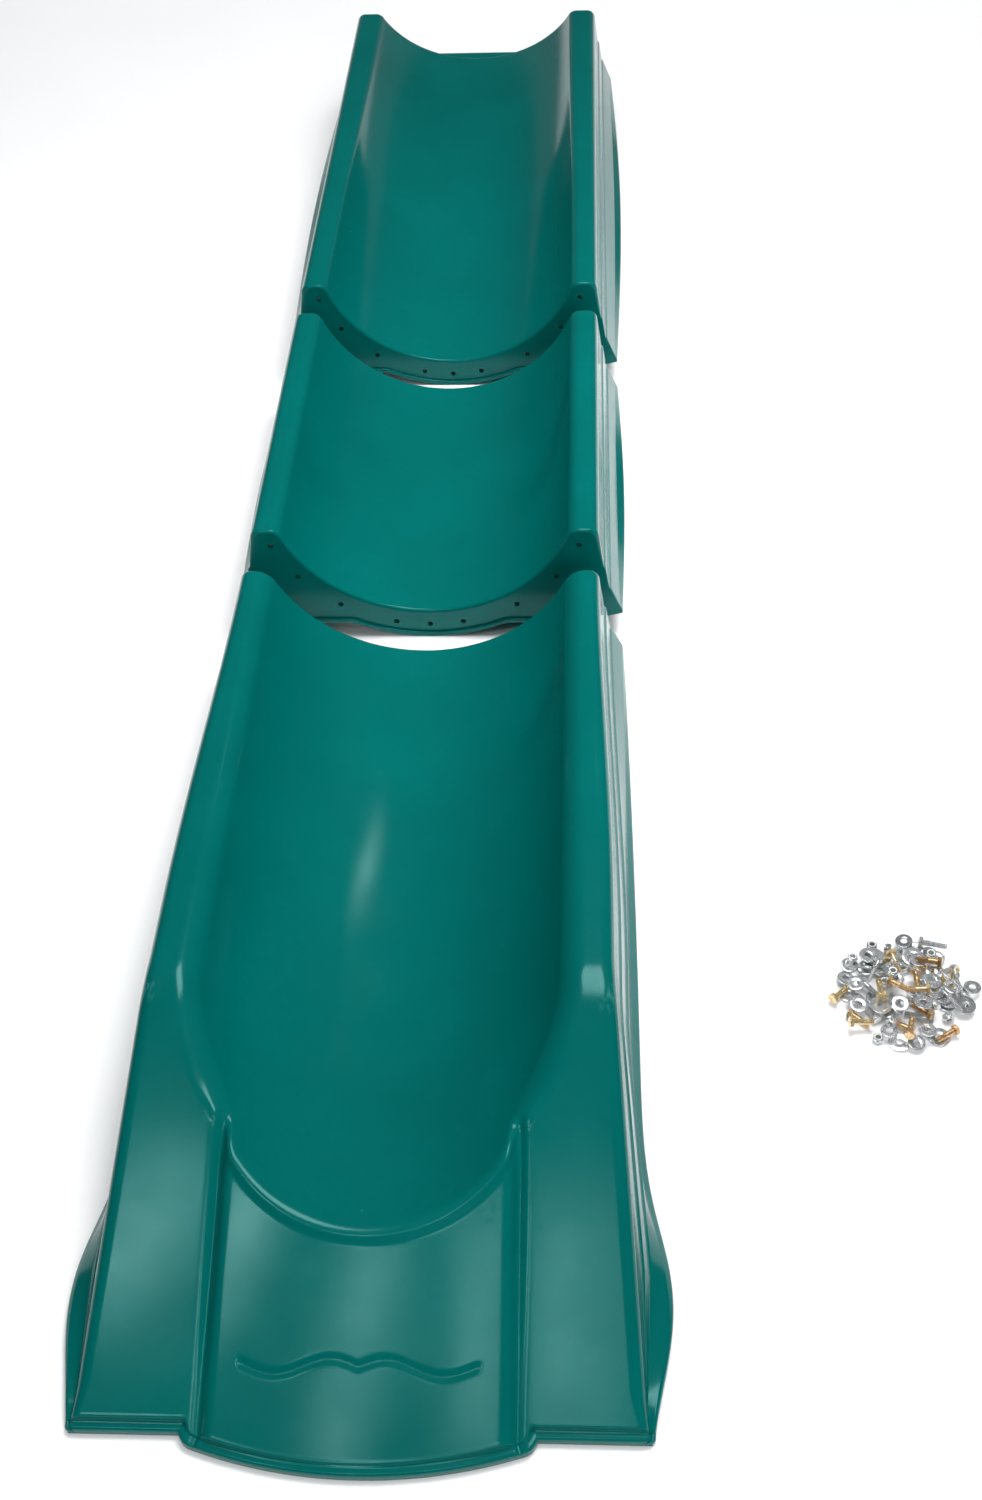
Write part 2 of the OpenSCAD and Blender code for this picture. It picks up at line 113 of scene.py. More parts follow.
# Exit section: run-out
KINK_Y = 483.0
KINK_SOFT = 30.0
FRONT_SLOPE = 0.422
CURL_Y = 600.0
LIP_Z = 110.0
LIP_Y = 222.0
LIP_NARROWING = 10.0
LIP_NARROWING_LEN = 200.0
LIP_EDGE_Y = 300.0
LIP_EDGE_LEN = 90.0
BEAD_H = 4.0
BEAD_W = 13.0
BEAD_SOFT = 6.0
BEAD_END_Y = 380.0
BEAD_FADE = 70.0

# Exit section: apron, with a valley along each side
APRON_HALF = 174.0
APRON_INSET = 6.0
APRON_PROUD = 13.0
APRON_STEP = 0.62
APRON_ROLL = 20.0
APRON_TOP_Y = 345.0
APRON_FADE = 60.0
APRON_BULGE = 28.0
APRON_R = (APRON_HALF ** 2 + APRON_BULGE ** 2) / (2 * APRON_BULGE)
APRON_TURN = 10.0
VALLEY_X = APRON_HALF - 8.0
VALLEY_W = 6.5
VALLEY_DEPTH = 7.0
VALLEY_SHALLOW = 0.35
VALLEY_LOW_Y = 60.0
VALLEY_LEN = 200.0
VALLEY_TOP_Y = 352.0
VALLEY_FADE = 22.0

# Exit section: line pressed into the apron
WAVE_Y = 92.0
WAVE_SWING = 7.0
WAVE_TURN = 19.0
WAVE_HALF = 132.0
WAVE_FADE = 8.0
WAVE_W = 3.2
WAVE_DEPTH = 1.8

# Exit section: front, toe rim and sides
SIDE_FRONT_Y = 43.0
FRONT_WALL = 3.5
FRONT_EDGE_R = 2.5
FRONT_ROW_Y = SIDE_FRONT_Y + FRONT_WALL + FRONT_EDGE_R
FRONT_BLEND_Y = 130.0
RIM_OUT = 6.8
RIM_H = 14.0
RIM_EDGE_R = 3.5
RIM_CORNER_R = 7.0
RIM_BLEND_Y = 330.0
RIM_BLEND_LEN = 120.0
HEEL_Y = 190.0
HEEL_LEN = 130.0
HEEL_FLARE = 30.8
FOOT_SPREAD = 7.0
FOOT_LIFT_Y = 450.0
EXIT_BAND_LESS = 3.0
RAIL_SPREAD = 14.0
RAIL_SPREAD_LEN = 600.0
FRONT_SPREAD = 0.073
FRONT_SPREAD_Y = 500.0
FRONT_SPREAD_SOFT = 40.0

# Deck lip
LIP_W = 230.0
LIP_T = 6.0
LIP_HOLE_R = 3.25
LIP_HOLE_SPAN = 160.0
LIP_EDGE_ROUND = 1.5
LIP_CORNER_R = 6.0
LIP_BELOW_FLOOR = 2.0


def smooth(t):
    """Soft step: 0 up to t = 0, 1 from t = 1."""
    t = np.clip(t, 0, 1)
    return t * t * (3 - 2 * t)


def soft_positive(u, width):
    """max(u, 0) with its corner rounded over width each side."""
    return np.where(u < -width, 0, np.where(u > width, u, (u + width) ** 2 / (4 * width)))


def ring_angles(segments):
    return np.linspace(0, 2 * math.pi, segments + 1)[:-1]


# ---- Mesh making ---------------------------------------------------------------


class Shell:
    """Points and faces of one closed moulding; edges between two face groups are creases."""

    def __init__(self):
        self.points = []
        self.faces = []
        self.groups = []

    def add_points(self, array):
        array = np.asarray(array, float)
        first = len(self.points)
        self.points.extend(array.reshape(-1, 3).tolist())
        return np.arange(first, len(self.points)).reshape(array.shape[:-1])

    def face(self, corners, group):
        self.faces.append([int(c) for c in corners])
        self.groups.append(group)

    def grid(self, index, group, flip=False):
        """Quads over a grid of point indices, rows along the first axis."""
        a = index[:-1, :-1].ravel()
        b = index[:-1, 1:].ravel()
        c = index[1:, 1:].ravel()
        d = index[1:, :-1].ravel()
        quads = np.stack([a, b, c, d], 1)
        if flip:
            quads = quads[:, ::-1]
        self.faces.extend(quads.tolist())
        self.groups.extend([group] * len(quads))

    def planar(self, outline, holes, group, flip):
        """Fills a flat outline in an X-Z plane, given as point indices, round holes left open."""
        loops = [list(outline)] + [list(h) for h in holes]
        order = [i for loop in loops for i in loop]
        flat = [Vector((self.points[i][0], self.points[i][2])) for i in order]
        edges, start = [], 0
        for loop in loops:
            n = len(loop)
            edges += [(start + k, start + (k + 1) % n) for k in range(n)]
            start += n
        result = delaunay_2d_cdt(flat, edges, [list(range(len(outline)))], 1, 1e-5)
        coords, triangles, origin = result[0], result[2], result[3]
        rings = [np.array([[self.points[i][0], self.points[i][2]] for i in h]) for h in holes]
        centres = [(r.mean(0), np.linalg.norm(r[0] - r.mean(0)) - 0.2) for r in rings]
        names = {}
        for k, found in enumerate(origin):
            if found:
                names[k] = order[found[0]]
            else:
                y = self.points[outline[0]][1]
                names[k] = int(self.add_points([[coords[k][0], y, coords[k][1]]])[0])
        for tri in triangles:
            middle = np.mean([[coords[k][0], coords[k][1]] for k in tri], 0)
            if any(np.hypot(*(middle - c)) < r for c, r in centres):
                continue
            corners = [names[k] for k in tri]
            self.face(corners[::-1] if flip else corners, group)

    def mesh(self, name):
        data = bpy.data.meshes.new(name)
        data.from_pydata((np.array(self.points) * MM).tolist(), [], self.faces)
        data.validate()
        data.update()
        work = bmesh.new()
        work.from_mesh(data)
        marks = {tuple(sorted(f)): g for f, g in zip(self.faces, self.groups)}
        bmesh.ops.recalc_face_normals(work, faces=work.faces)
        for f in work.faces:
            f.smooth = True
        for e in work.edges:
            found = {marks.get(tuple(sorted(v.index for v in f.verts))) for f in e.link_faces}
            e.smooth = len(found) < 2
        work.to_mesh(data)
        work.free()
        return data


def arc_resample(points, count):
    """count points spaced evenly along a polyline (last axis holds coordinates)."""
    steps = np.linalg.norm(np.diff(points, axis=0), axis=1)
    run = np.concatenate([[0], np.cumsum(steps)])
    wanted = np.linspace(0, run[-1], count)
    return np.stack([np.interp(wanted, run, points[:, k]) for k in range(points.shape[1])], 1)


def rounded(points, radii, steps=4):
    """Polyline with each inner corner replaced by an arc of the given radius."""
    out = [np.array(points[0], float)]
    for before, here, after, r in zip(points, points[1:], points[2:], radii):
        here = np.array(here, float)
        u = np.array(before, float) - here
        v = np.array(after, float) - here
        lu, lv = np.linalg.norm(u), np.linalg.norm(v)
        u, v = u / lu, v / lv
        turn = math.acos(float(np.clip(u @ v, -1, 1)))
        reach = min(r / math.tan(turn / 2), lu * 0.45, lv * 0.45) if turn < math.pi - 1e-3 else 0.3
        start, end = here + u * reach, here + v * reach
        for k in range(steps + 1):
            t = k / steps
            out.append((1 - t) ** 2 * start + 2 * t * (1 - t) * here + t ** 2 * end)
    out.append(np.array(points[-1], float))
    return np.array(out)


# ---- Cross-section of the mouldings --------------------------------------------

TROUGH_COLS = 64
FILLET_COLS = 9
FLAT_COLS = 4
INNER_TROUGH_COLS = 36
INNER_EDGE_COLS = 4


def ellipse(t, half, drop):
    return np.stack([half * np.sin(t), TROUGH_Z - drop * np.cos(t)], -1)


def into_wall(t, half, drop):
    """Unit normal of the ellipse, pointing into the plastic."""
    n = np.array([math.sin(t) / half, -math.cos(t) / drop])
    return n / np.linalg.norm(n)


def trough_and_fillet(half, floor, top, radius, cols, fillet_cols):
    """Right half of the trough from its middle up, with the rounded edge onto the rail."""
    drop = TROUGH_Z - floor
    low, high = 0.3, math.pi / 2 - 1e-4
    for _ in range(50):
        t = (low + high) / 2
        if ellipse(t, half, drop)[1] + radius * into_wall(t, half, drop)[1] < top - radius:
            low = t
        else:
            high = t
    n = into_wall(t, half, drop)
    centre = ellipse(t, half, drop) + radius * n
    first = math.atan2(-n[1], -n[0])
    angles = np.linspace(first, math.pi / 2, fillet_cols + 1)[1:]
    arc = centre + radius * np.stack([np.cos(angles), np.sin(angles)], -1)
    wall_points = ellipse(np.linspace(1e-6, t, 400), half, drop)
    return np.concatenate([arc_resample(wall_points, cols), arc])


def rail_edge(rail_x, top, radius, cols):
    angles = np.linspace(math.pi / 2, 0, cols + 1)
    x, z = rail_x - radius, top - radius
    return np.stack([x + radius * np.cos(angles), z + radius * np.sin(angles)], -1)


def skirt(rail_x, z1, foot_x, foot_z, edge_h, band):
    """Outside of the skirt below the rail: two stepped walls, then the foot's ledge and edge."""
    ledge_z = foot_z + edge_h
    rise = z1 - ledge_z
    q = float(np.clip(rise / SKIRT_FULL_H, 0.05, 1))
    x_in = max(foot_x - band, rail_x + OUTER_STEPS[-1][0] * q + 1)
    slant = min(1.0, (foot_x - x_in) / 4)
    steps = [(rail_x + out * q, ledge_z + share * rise - drop * q) for out, share, drop in OUTER_STEPS]
    corners = [(rail_x, z1), *steps, (x_in, ledge_z + SKIRT_LOW_SHARE * rise + 2),
               (foot_x - slant, ledge_z), (foot_x, ledge_z - 2.5), (foot_x, foot_z)]
    return rounded(corners, SKIRT_RADII)[1:]


def inner_skirt(rail_x, z1, foot_x, foot_z, band):
    """Inside of the skirt, a wall's thickness in from the outside."""
    x = rail_x - WALL
    foot = foot_x - WALL - min(band, foot_x - rail_x - 2)
    rise = z1 - foot_z
    steps = [(min(x + out, foot - inset), foot_z + share * rise) for out, inset, share in INNER_STEPS]
    return np.array([*steps, (foot, foot_z + SKIRT_LOW_SHARE * rise), (foot, foot_z)])


def mirrored(half):
    """Whole rows, left foot to right foot, from right halves that start at the middle."""
    left = half[..., :0:-1, :].copy()
    left[..., 0] *= -1
    return np.concatenate([left, half], -2)


def outer_outline(floor, foot_x, foot_z, band):
    """Outside of a straight section: trough, rails and skirts."""
    up = trough_and_fillet(TROUGH_HALF, floor, RAIL_TOP, INNER_EDGE_R, TROUGH_COLS, FILLET_COLS)
    edge = rail_edge(RAIL_HALF, RAIL_TOP, EDGE_R, FILLET_COLS)
    flat = np.linspace(up[-1], edge[0], FLAT_COLS + 1)[1:-1]
    side = skirt(RAIL_HALF, RAIL_TOP - EDGE_R, foot_x, foot_z, FOOT_EDGE_H, band)
    return mirrored(np.concatenate([up, flat, edge, side]))


def inner_outline(floor, foot_x, foot_z, band):
    """Inside of a straight section, seen from below."""
    up = trough_and_fillet(TROUGH_HALF + WALL, floor - WALL, RAIL_TOP - WALL, INNER_EDGE_R - WALL,
                           INNER_TROUGH_COLS, INNER_EDGE_COLS)
    edge = rail_edge(RAIL_HALF - WALL, RAIL_TOP - WALL, EDGE_R - WALL, INNER_EDGE_COLS)
    side = inner_skirt(RAIL_HALF, RAIL_TOP - EDGE_R, foot_x, foot_z, band)
    return mirrored(np.concatenate([up, edge, side]))


def inward(outline):
    """Unit normals of an outline, pointing into the plastic."""
    tangent = np.gradient(outline, axis=0)
    n = np.stack([tangent[:, 1], -tangent[:, 0]], -1)
    return n / np.maximum(np.linalg.norm(n, axis=1, keepdims=True), 1e-9)


def end_reach(outline):
    """How far each point of an outline pulls in over the rounded end."""
    above = smooth((outline[:, 1] - (RAIL_TOP - ROLL_BELOW_TOP)) / ROLL_BELOW_LEN)
    in_trough = smooth((RAIL_HALF - ROLL_FROM_RAIL - np.abs(outline[:, 0])) / ROLL_FROM_LEN)
    return SKIRT_END_R + (END_R - SKIRT_END_R) * np.maximum(above, in_trough)


END_STEPS = 6


def end_rows(outline, y_end, direction):
    """Rows that roll the skin onto the end plate; direction is +1 if the section lies beyond it."""
    n = inward(outline)
    n[0] = (1, 0)
    n[-1] = (-1, 0)
    reach = end_reach(outline)
    rows = []
    for k in range(END_STEPS, 0, -1):
        a = math.pi / 2 * k / END_STEPS
        moved = outline + n * (reach * (1 - math.cos(a)))[:, None]
        y = y_end + direction * reach * (1 - math.sin(a))
        rows.append(np.stack([moved[:, 0], y, moved[:, 1]], -1))
    return rows


def lower_edge(low):
    """Underside of an end plate from right to left: flat, then round the belly."""
    x = np.concatenate([[PLATE_HALF], np.linspace(BELLY_HALF, -BELLY_HALF, 61), [-PLATE_HALF]])
    flat = PLATE_FLAT + low
    r = HOLE_ARC_Z - low
    belly = HOLE_ARC_Z - np.sqrt(r * r - x * x)
    return np.stack([x, flat - soft_positive(flat - belly, PLATE_FOLD)], -1)


def with_y(outline, y):
    """Outline of (x, z) points placed at one y."""
    return np.stack([outline[:, 0], np.full(len(outline), y), outline[:, 1]], -1)


def hole_ring(x, z, y):
    a = ring_angles(HOLE_SIDES)
    return with_y(np.stack([x + HOLE_D / 2 * np.cos(a), z + HOLE_D / 2 * np.sin(a)], -1), y)


def end_plate(shell, y_face, y_back, skin_row, roll, back_loop, low, holes):
    """Closes one end: both faces of the plate, its bottom edge and the walls of its holes.
    roll holds the rows of the rounded end, from the one beside skin_row to the one on the face."""
    face_loop = roll[-1]
    edge = lower_edge(low)
    face_low = shell.add_points(with_y(edge, y_face))
    back_low = shell.add_points(with_y(edge, y_back))
    faces_front = y_face < y_back
    rings = []
    for a in HOLE_ANGLES if holes else ():
        t = math.radians(a)
        x, z = HOLE_ARC_R * math.sin(t), HOLE_ARC_Z - HOLE_ARC_R * math.cos(t)
        ring_face = shell.add_points(hole_ring(x, z, y_face))
        ring_back = shell.add_points(hole_ring(x, z, y_back))
        rings.append((ring_face, ring_back))
        both = np.stack([np.append(ring_face, ring_face[0]), np.append(ring_back, ring_back[0])])
        shell.grid(both, "hole", not faces_front)
    shell.planar(list(face_loop) + list(face_low), [r[0] for r in rings], "plate", not faces_front)
    shell.planar(list(back_loop) + list(back_low), [r[1] for r in rings], "back", faces_front)
    bottom_face = [face_loop[-1]] + list(face_low) + [face_loop[0]]
    bottom_back = [back_loop[-1]] + list(back_low) + [back_loop[0]]
    shell.grid(np.array([bottom_face, bottom_back]), "bottom", faces_front)
    for side in (0, -1):
        shell.face([skin_row[side], *roll[:, side], back_loop[side]], "bottom")


def foot_strip(shell, outer, inner):
    """Bottom edges of the two skirts, between the outer and the inner skin."""
    for side in (0, -1):
        pair = np.stack([outer[:, side], inner[:, side]])
        shell.grid(pair, "bottom", side == 0)


def ledge(shell, y0):
    """Locating ledge along the bottom of a lower flange."""
    path = lower_edge(0)[::-1]
    r = 1.6
    section = [(1, LEDGE_H), (r - LEDGE_DEPTH, LEDGE_H), (0.4 - LEDGE_DEPTH, LEDGE_H - 0.4),
               (-LEDGE_DEPTH, LEDGE_H - r), (-LEDGE_DEPTH, r), (0.4 - LEDGE_DEPTH, 0.5),
               (r - LEDGE_DEPTH, 0.1), (1, 0.1)]
    rows = [with_y(path + (0, dz), y0 + dy) for dy, dz in section]
    index = shell.add_points(np.array(rows))
    shell.grid(np.concatenate([index, index[:1]]), "ledge")
    shell.face(index[:, 0], "ledge_end")
    shell.face(index[::-1, -1], "ledge_end")


# ---- Straight sections ---------------------------------------------------------

ROW_STEP = 14.0


def straight_section(name, y0, y1, low1, rise, foot_bow, holes1):
    """Section with a flange at y0 and a plate at y1 that starts low1 higher and has holes if
    holes1. Its floor rises by rise and its feet bow out by foot_bow."""
    count = int((y1 - y0) / ROW_STEP)
    between = np.linspace(y0 + 2 * END_R, y1 - 2 * END_R, count)
    ys = np.concatenate([[y0 + END_R], between, [y1 - END_R]])

    def floor_at(y):
        return TROUGH_FLOOR + rise * float(smooth((y - y0) / (y1 - y0)))

    def foot_at(y):
        bow = math.sin(math.pi * (y - y0) / (y1 - y0))
        return FOOT_HALF + foot_bow * bow, FOOT_Z, END_BAND + (FOOT_BAND - END_BAND) * bow

    def outline_at(y):
        return outer_outline(floor_at(y), *foot_at(y))

    shell = Shell()
    outer = shell.add_points(np.array([with_y(outline_at(y), y) for y in ys]))
    roll0 = shell.add_points(np.array(end_rows(outline_at(y0 + END_R), y0, 1)))
    roll1 = shell.add_points(np.array(end_rows(outline_at(y1 - END_R), y1, -1)[::-1]))
    shell.grid(np.concatenate([roll0, outer, roll1]), "skin")

    inner_ys = ys.copy()
    inner_ys[0] = y0 + PLATE_T
    inner_ys[-1] = y1 - PLATE_T
    inner_rows = [with_y(inner_outline(floor_at(y), *foot_at(y)), y) for y in inner_ys]
    inner = shell.add_points(np.array(inner_rows))
    shell.grid(inner, "inner", True)
    foot_strip(shell, outer, inner)

    end_plate(shell, y0, y0 + PLATE_T, outer[0], roll0[::-1], inner[0], 0, True)
    end_plate(shell, y1, y1 - PLATE_T, outer[-1], roll1, inner[-1], low1, holes1)
    ledge(shell, y0)
    return shell.mesh(name)


# ---- Exit section --------------------------------------------------------------


def exit_foot(y):
    """Half width at the foot, widest at the heel of the toe."""
    bow = FOOT_BOW * np.sin(math.pi * y / EXIT_Y1)
    heel = HEEL_FLARE * np.exp(-((y - HEEL_Y) / HEEL_LEN) ** 2)
    return FOOT_HALF + FOOT_SPREAD * (1 - y / EXIT_Y1) + bow + heel


def exit_band(y):
    """Width of the ledge over the foot."""
    return END_BAND - EXIT_BAND_LESS + (FOOT_BAND - END_BAND) * math.sin(math.pi * y / EXIT_Y1)


def exit_rail(y):
    """Half width over the rails, and over the side panels in front of them."""
    spread = RAIL_SPREAD * smooth((EXIT_Y1 - y) / RAIL_SPREAD_LEN)
    return RAIL_HALF + spread + FRONT_SPREAD * soft_positive(FRONT_SPREAD_Y - y, FRONT_SPREAD_SOFT)


def exit_foot_z(y):
    return FOOT_Z * smooth((y - FOOT_LIFT_Y) / (EXIT_Y1 - FOOT_LIFT_Y))


def exit_half(y):
    return TROUGH_HALF - LIP_NARROWING * smooth((KINK_Y - y) / LIP_NARROWING_LEN)


def exit_floor(y):
    """Height of the trough's floor, which curls up towards the lip."""
    curl = np.maximum(0, CURL_Y - y) / (CURL_Y - LIP_Y)
    return TROUGH_FLOOR + (LIP_Z - TROUGH_FLOOR) * curl ** 2


def exit_panel(y):
    """Height of the rail tops and of the side panels that fall from them to the front."""
    return RAIL_TOP - FRONT_SLOPE * soft_positive(KINK_Y - y, KINK_SOFT)


def wave_groove(x, y):
    """Plain wavy line pressed into the apron."""
    line = WAVE_Y + WAVE_SWING * np.sin(x / WAVE_TURN)
    fade = smooth((WAVE_HALF - np.abs(x)) / WAVE_FADE)
    return WAVE_DEPTH * fade * np.exp(-((y - line) / WAVE_W) ** 2)


def trough_distance(x, y, z):
    """Distance above the trough surface, positive in the open trough."""
    half, drop = exit_half(y), TROUGH_Z - exit_floor(y)
    u = np.abs(x) / half
    w = np.maximum(TROUGH_Z - z, 1.0) / drop
    q = np.sqrt(u * u + w * w)
    floor_slope = -2 * (LIP_Z - TROUGH_FLOOR) * np.maximum(0, CURL_Y - y) / (CURL_Y - LIP_Y) ** 2
    steep = np.sqrt((u / half) ** 2 + (w / drop) ** 2 + (w * w / drop * floor_slope) ** 2) / q
    return (1 - q) / steep


def exit_top(x, y):
    """Height of the top of the moulding where the trough doesn't cut it."""
    roll = np.clip((APRON_HALF - APRON_INSET - np.abs(x)) / APRON_ROLL, 0, 1)
    crown = np.clip(1 - (x / APRON_HALF) ** 2, 0, 1)
    apron = APRON_STEP * (1 - (1 - roll) ** 3) + (1 - APRON_STEP) * crown
    apron = APRON_PROUD * apron * smooth((APRON_TOP_Y - y) / APRON_FADE)
    valley = np.exp(-((np.abs(x) - VALLEY_X) / VALLEY_W) ** 2)
    valley = valley * smooth((VALLEY_TOP_Y - y) / VALLEY_FADE)
    deep = VALLEY_SHALLOW + (1 - VALLEY_SHALLOW) * smooth((y - VALLEY_LOW_Y) / VALLEY_LEN)
    panel = exit_panel(y) + apron - VALLEY_DEPTH * deep * valley
    depth = -trough_distance(x, y, panel)
    bead = BEAD_H * smooth((BEAD_W - depth) / BEAD_SOFT) * smooth((BEAD_END_Y - y) / BEAD_FADE)
    return panel + bead * (1 - valley) - wave_groove(x, y)


def edge_radius(y):
    """Radius of the trough's edge, from the lip to the rails."""
    return LIP_EDGE_R + (INNER_EDGE_R - LIP_EDGE_R) * smooth((y - LIP_EDGE_Y) / LIP_EDGE_LEN)


def exit_distance(x, y, z):
    """Signed distance to the top skin, with the trough's edge rounded."""
    h = 0.5
    top = exit_top(x, y)
    sx = (exit_top(x + h, y) - top) / h
    sy = (exit_top(x, y + h) - top) / h
    a = (z - top) / np.sqrt(1 + sx * sx + sy * sy)
    b = trough_distance(x, y, z)
    r = edge_radius(y)
    return np.minimum(-r, np.maximum(a, b)) + np.hypot(np.maximum(a + r, 0), np.maximum(b + r, 0))


def exit_gradient(x, y, z):
    """Distance to the top skin and its gradient."""
    h = 0.4
    d = exit_distance(x, y, z)
    ahead = (exit_distance(x + h, y, z), exit_distance(x, y + h, z), exit_distance(x, y, z + h))
    return d, np.stack([(a - d) / h for a in ahead], -1)


def front_line(x):
    """Where the panels end at the front: an arc under the apron, straight beside it."""
    x = np.abs(x)
    arc = APRON_R - np.sqrt(APRON_R ** 2 - np.minimum(x, APRON_HALF) ** 2)
    y = arc + (SIDE_FRONT_Y - arc) * smooth((x - APRON_HALF) / APRON_TURN)
    return y + FRONT_WALL + FRONT_EDGE_R


EXIT_COLS = 150
FINE_COLS = 1400
ROUNDING_PASSES = 8


def exit_row(y_row):
    """Right half of one row across the exit section, before its edges are rounded."""
    reach = exit_rail(y_row) - min(EDGE_R, (exit_panel(y_row) - exit_foot_z(y_row)) / 2)
    x = np.linspace(0, reach, FINE_COLS)
    share = min(1.0, (y_row - FRONT_ROW_Y) / (FRONT_BLEND_Y - FRONT_ROW_Y))
    y = front_line(x) * (1 - share) + (y_row if share >= 1 else FRONT_BLEND_Y) * share
    half, drop = exit_half(y), TROUGH_Z - exit_floor(y)
    inside = np.sqrt(1 - np.minimum(x / half, 1) ** 2)
    cut = np.where(x < half, TROUGH_Z - drop * inside, RAIL_TOP + 50)
    z = np.minimum(exit_top(x, y), cut)
    return arc_resample(np.stack([x, y, z], -1), EXIT_COLS)


def exit_side(y_row):
    """Right rail edge and skirt at one row, from the top outwards and down."""
    foot_z = float(exit_foot_z(y_row))
    top = float(exit_panel(y_row))
    rail_x = float(exit_rail(y_row))
    radius = min(EDGE_R, (top - foot_z) / 2)
    share = float(smooth((RIM_BLEND_Y - y_row) / RIM_BLEND_LEN))
    edge_h = min(FOOT_EDGE_H + (RIM_H - 1 - FOOT_EDGE_H) * share, top - radius - foot_z - 1)
    edge = rail_edge(rail_x, top, radius, FILLET_COLS)[1:]
    side = skirt(rail_x, top - radius, float(exit_foot(y_row)), foot_z, edge_h, exit_band(y_row))
    return with_y(np.concatenate([edge, side]), y_row)


def front_rows(row):
    """Rows that carry the front row down over the wall and the toe rim to the ground.
    Each step is a distance out from the row and a height."""
    tangent = np.gradient(row[:, :2], axis=0)
    out = np.stack([tangent[:, 1], -tangent[:, 0]], -1)
    out /= np.maximum(np.linalg.norm(out, axis=1, keepdims=True), 1e-9)
    foot = row[-1, 0]
    pull = smooth((np.abs(row[:, 0]) - (foot - 16)) / 14) * np.sign(row[:, 0])
    z0 = row[:, 2]
    wall_low = np.minimum(RIM_H - 0.5, z0)
    rim_out = FRONT_EDGE_R + FRONT_WALL + RIM_OUT
    rim_flat = rim_out - RIM_EDGE_R
    steps = []
    for a in np.linspace(0, math.pi / 2, 5)[1:]:
        steps.append((FRONT_EDGE_R * math.sin(a), z0 - FRONT_EDGE_R * (1 - math.cos(a))))
    # Small hollow where the wall meets the rim, then the rim's top, its edge and its outer face
    steps.append((FRONT_EDGE_R + 0.4, wall_low + 0.8))
    steps.append((FRONT_EDGE_R + 1.4, wall_low))
    steps.append((rim_flat - 2, wall_low - 0.5))
    for a in np.linspace(0, math.pi / 2, 6):
        drop = 0.7 + RIM_EDGE_R * (1 - math.cos(a))
        steps.append((rim_flat + RIM_EDGE_R * math.sin(a), wall_low - drop))
    steps.append((rim_out, np.full(len(row), 1.2)))
    steps.append((rim_out - 1.0, np.zeros(len(row))))
    rows = []
    ceiling = z0.copy()
    for o, z in steps:
        ceiling = np.minimum(ceiling, z)
        past = max(0, (o - (rim_out - RIM_CORNER_R)) / RIM_CORNER_R)
        corner = RIM_CORNER_R * (1 - math.sqrt(max(0, 1 - past ** 2)))
        x = row[:, 0] + out[:, 0] * o - pull * corner
        y = row[:, 1] + out[:, 1] * o
        rows.append(np.stack([x, y, np.maximum(ceiling, 0)], -1))
    return rows


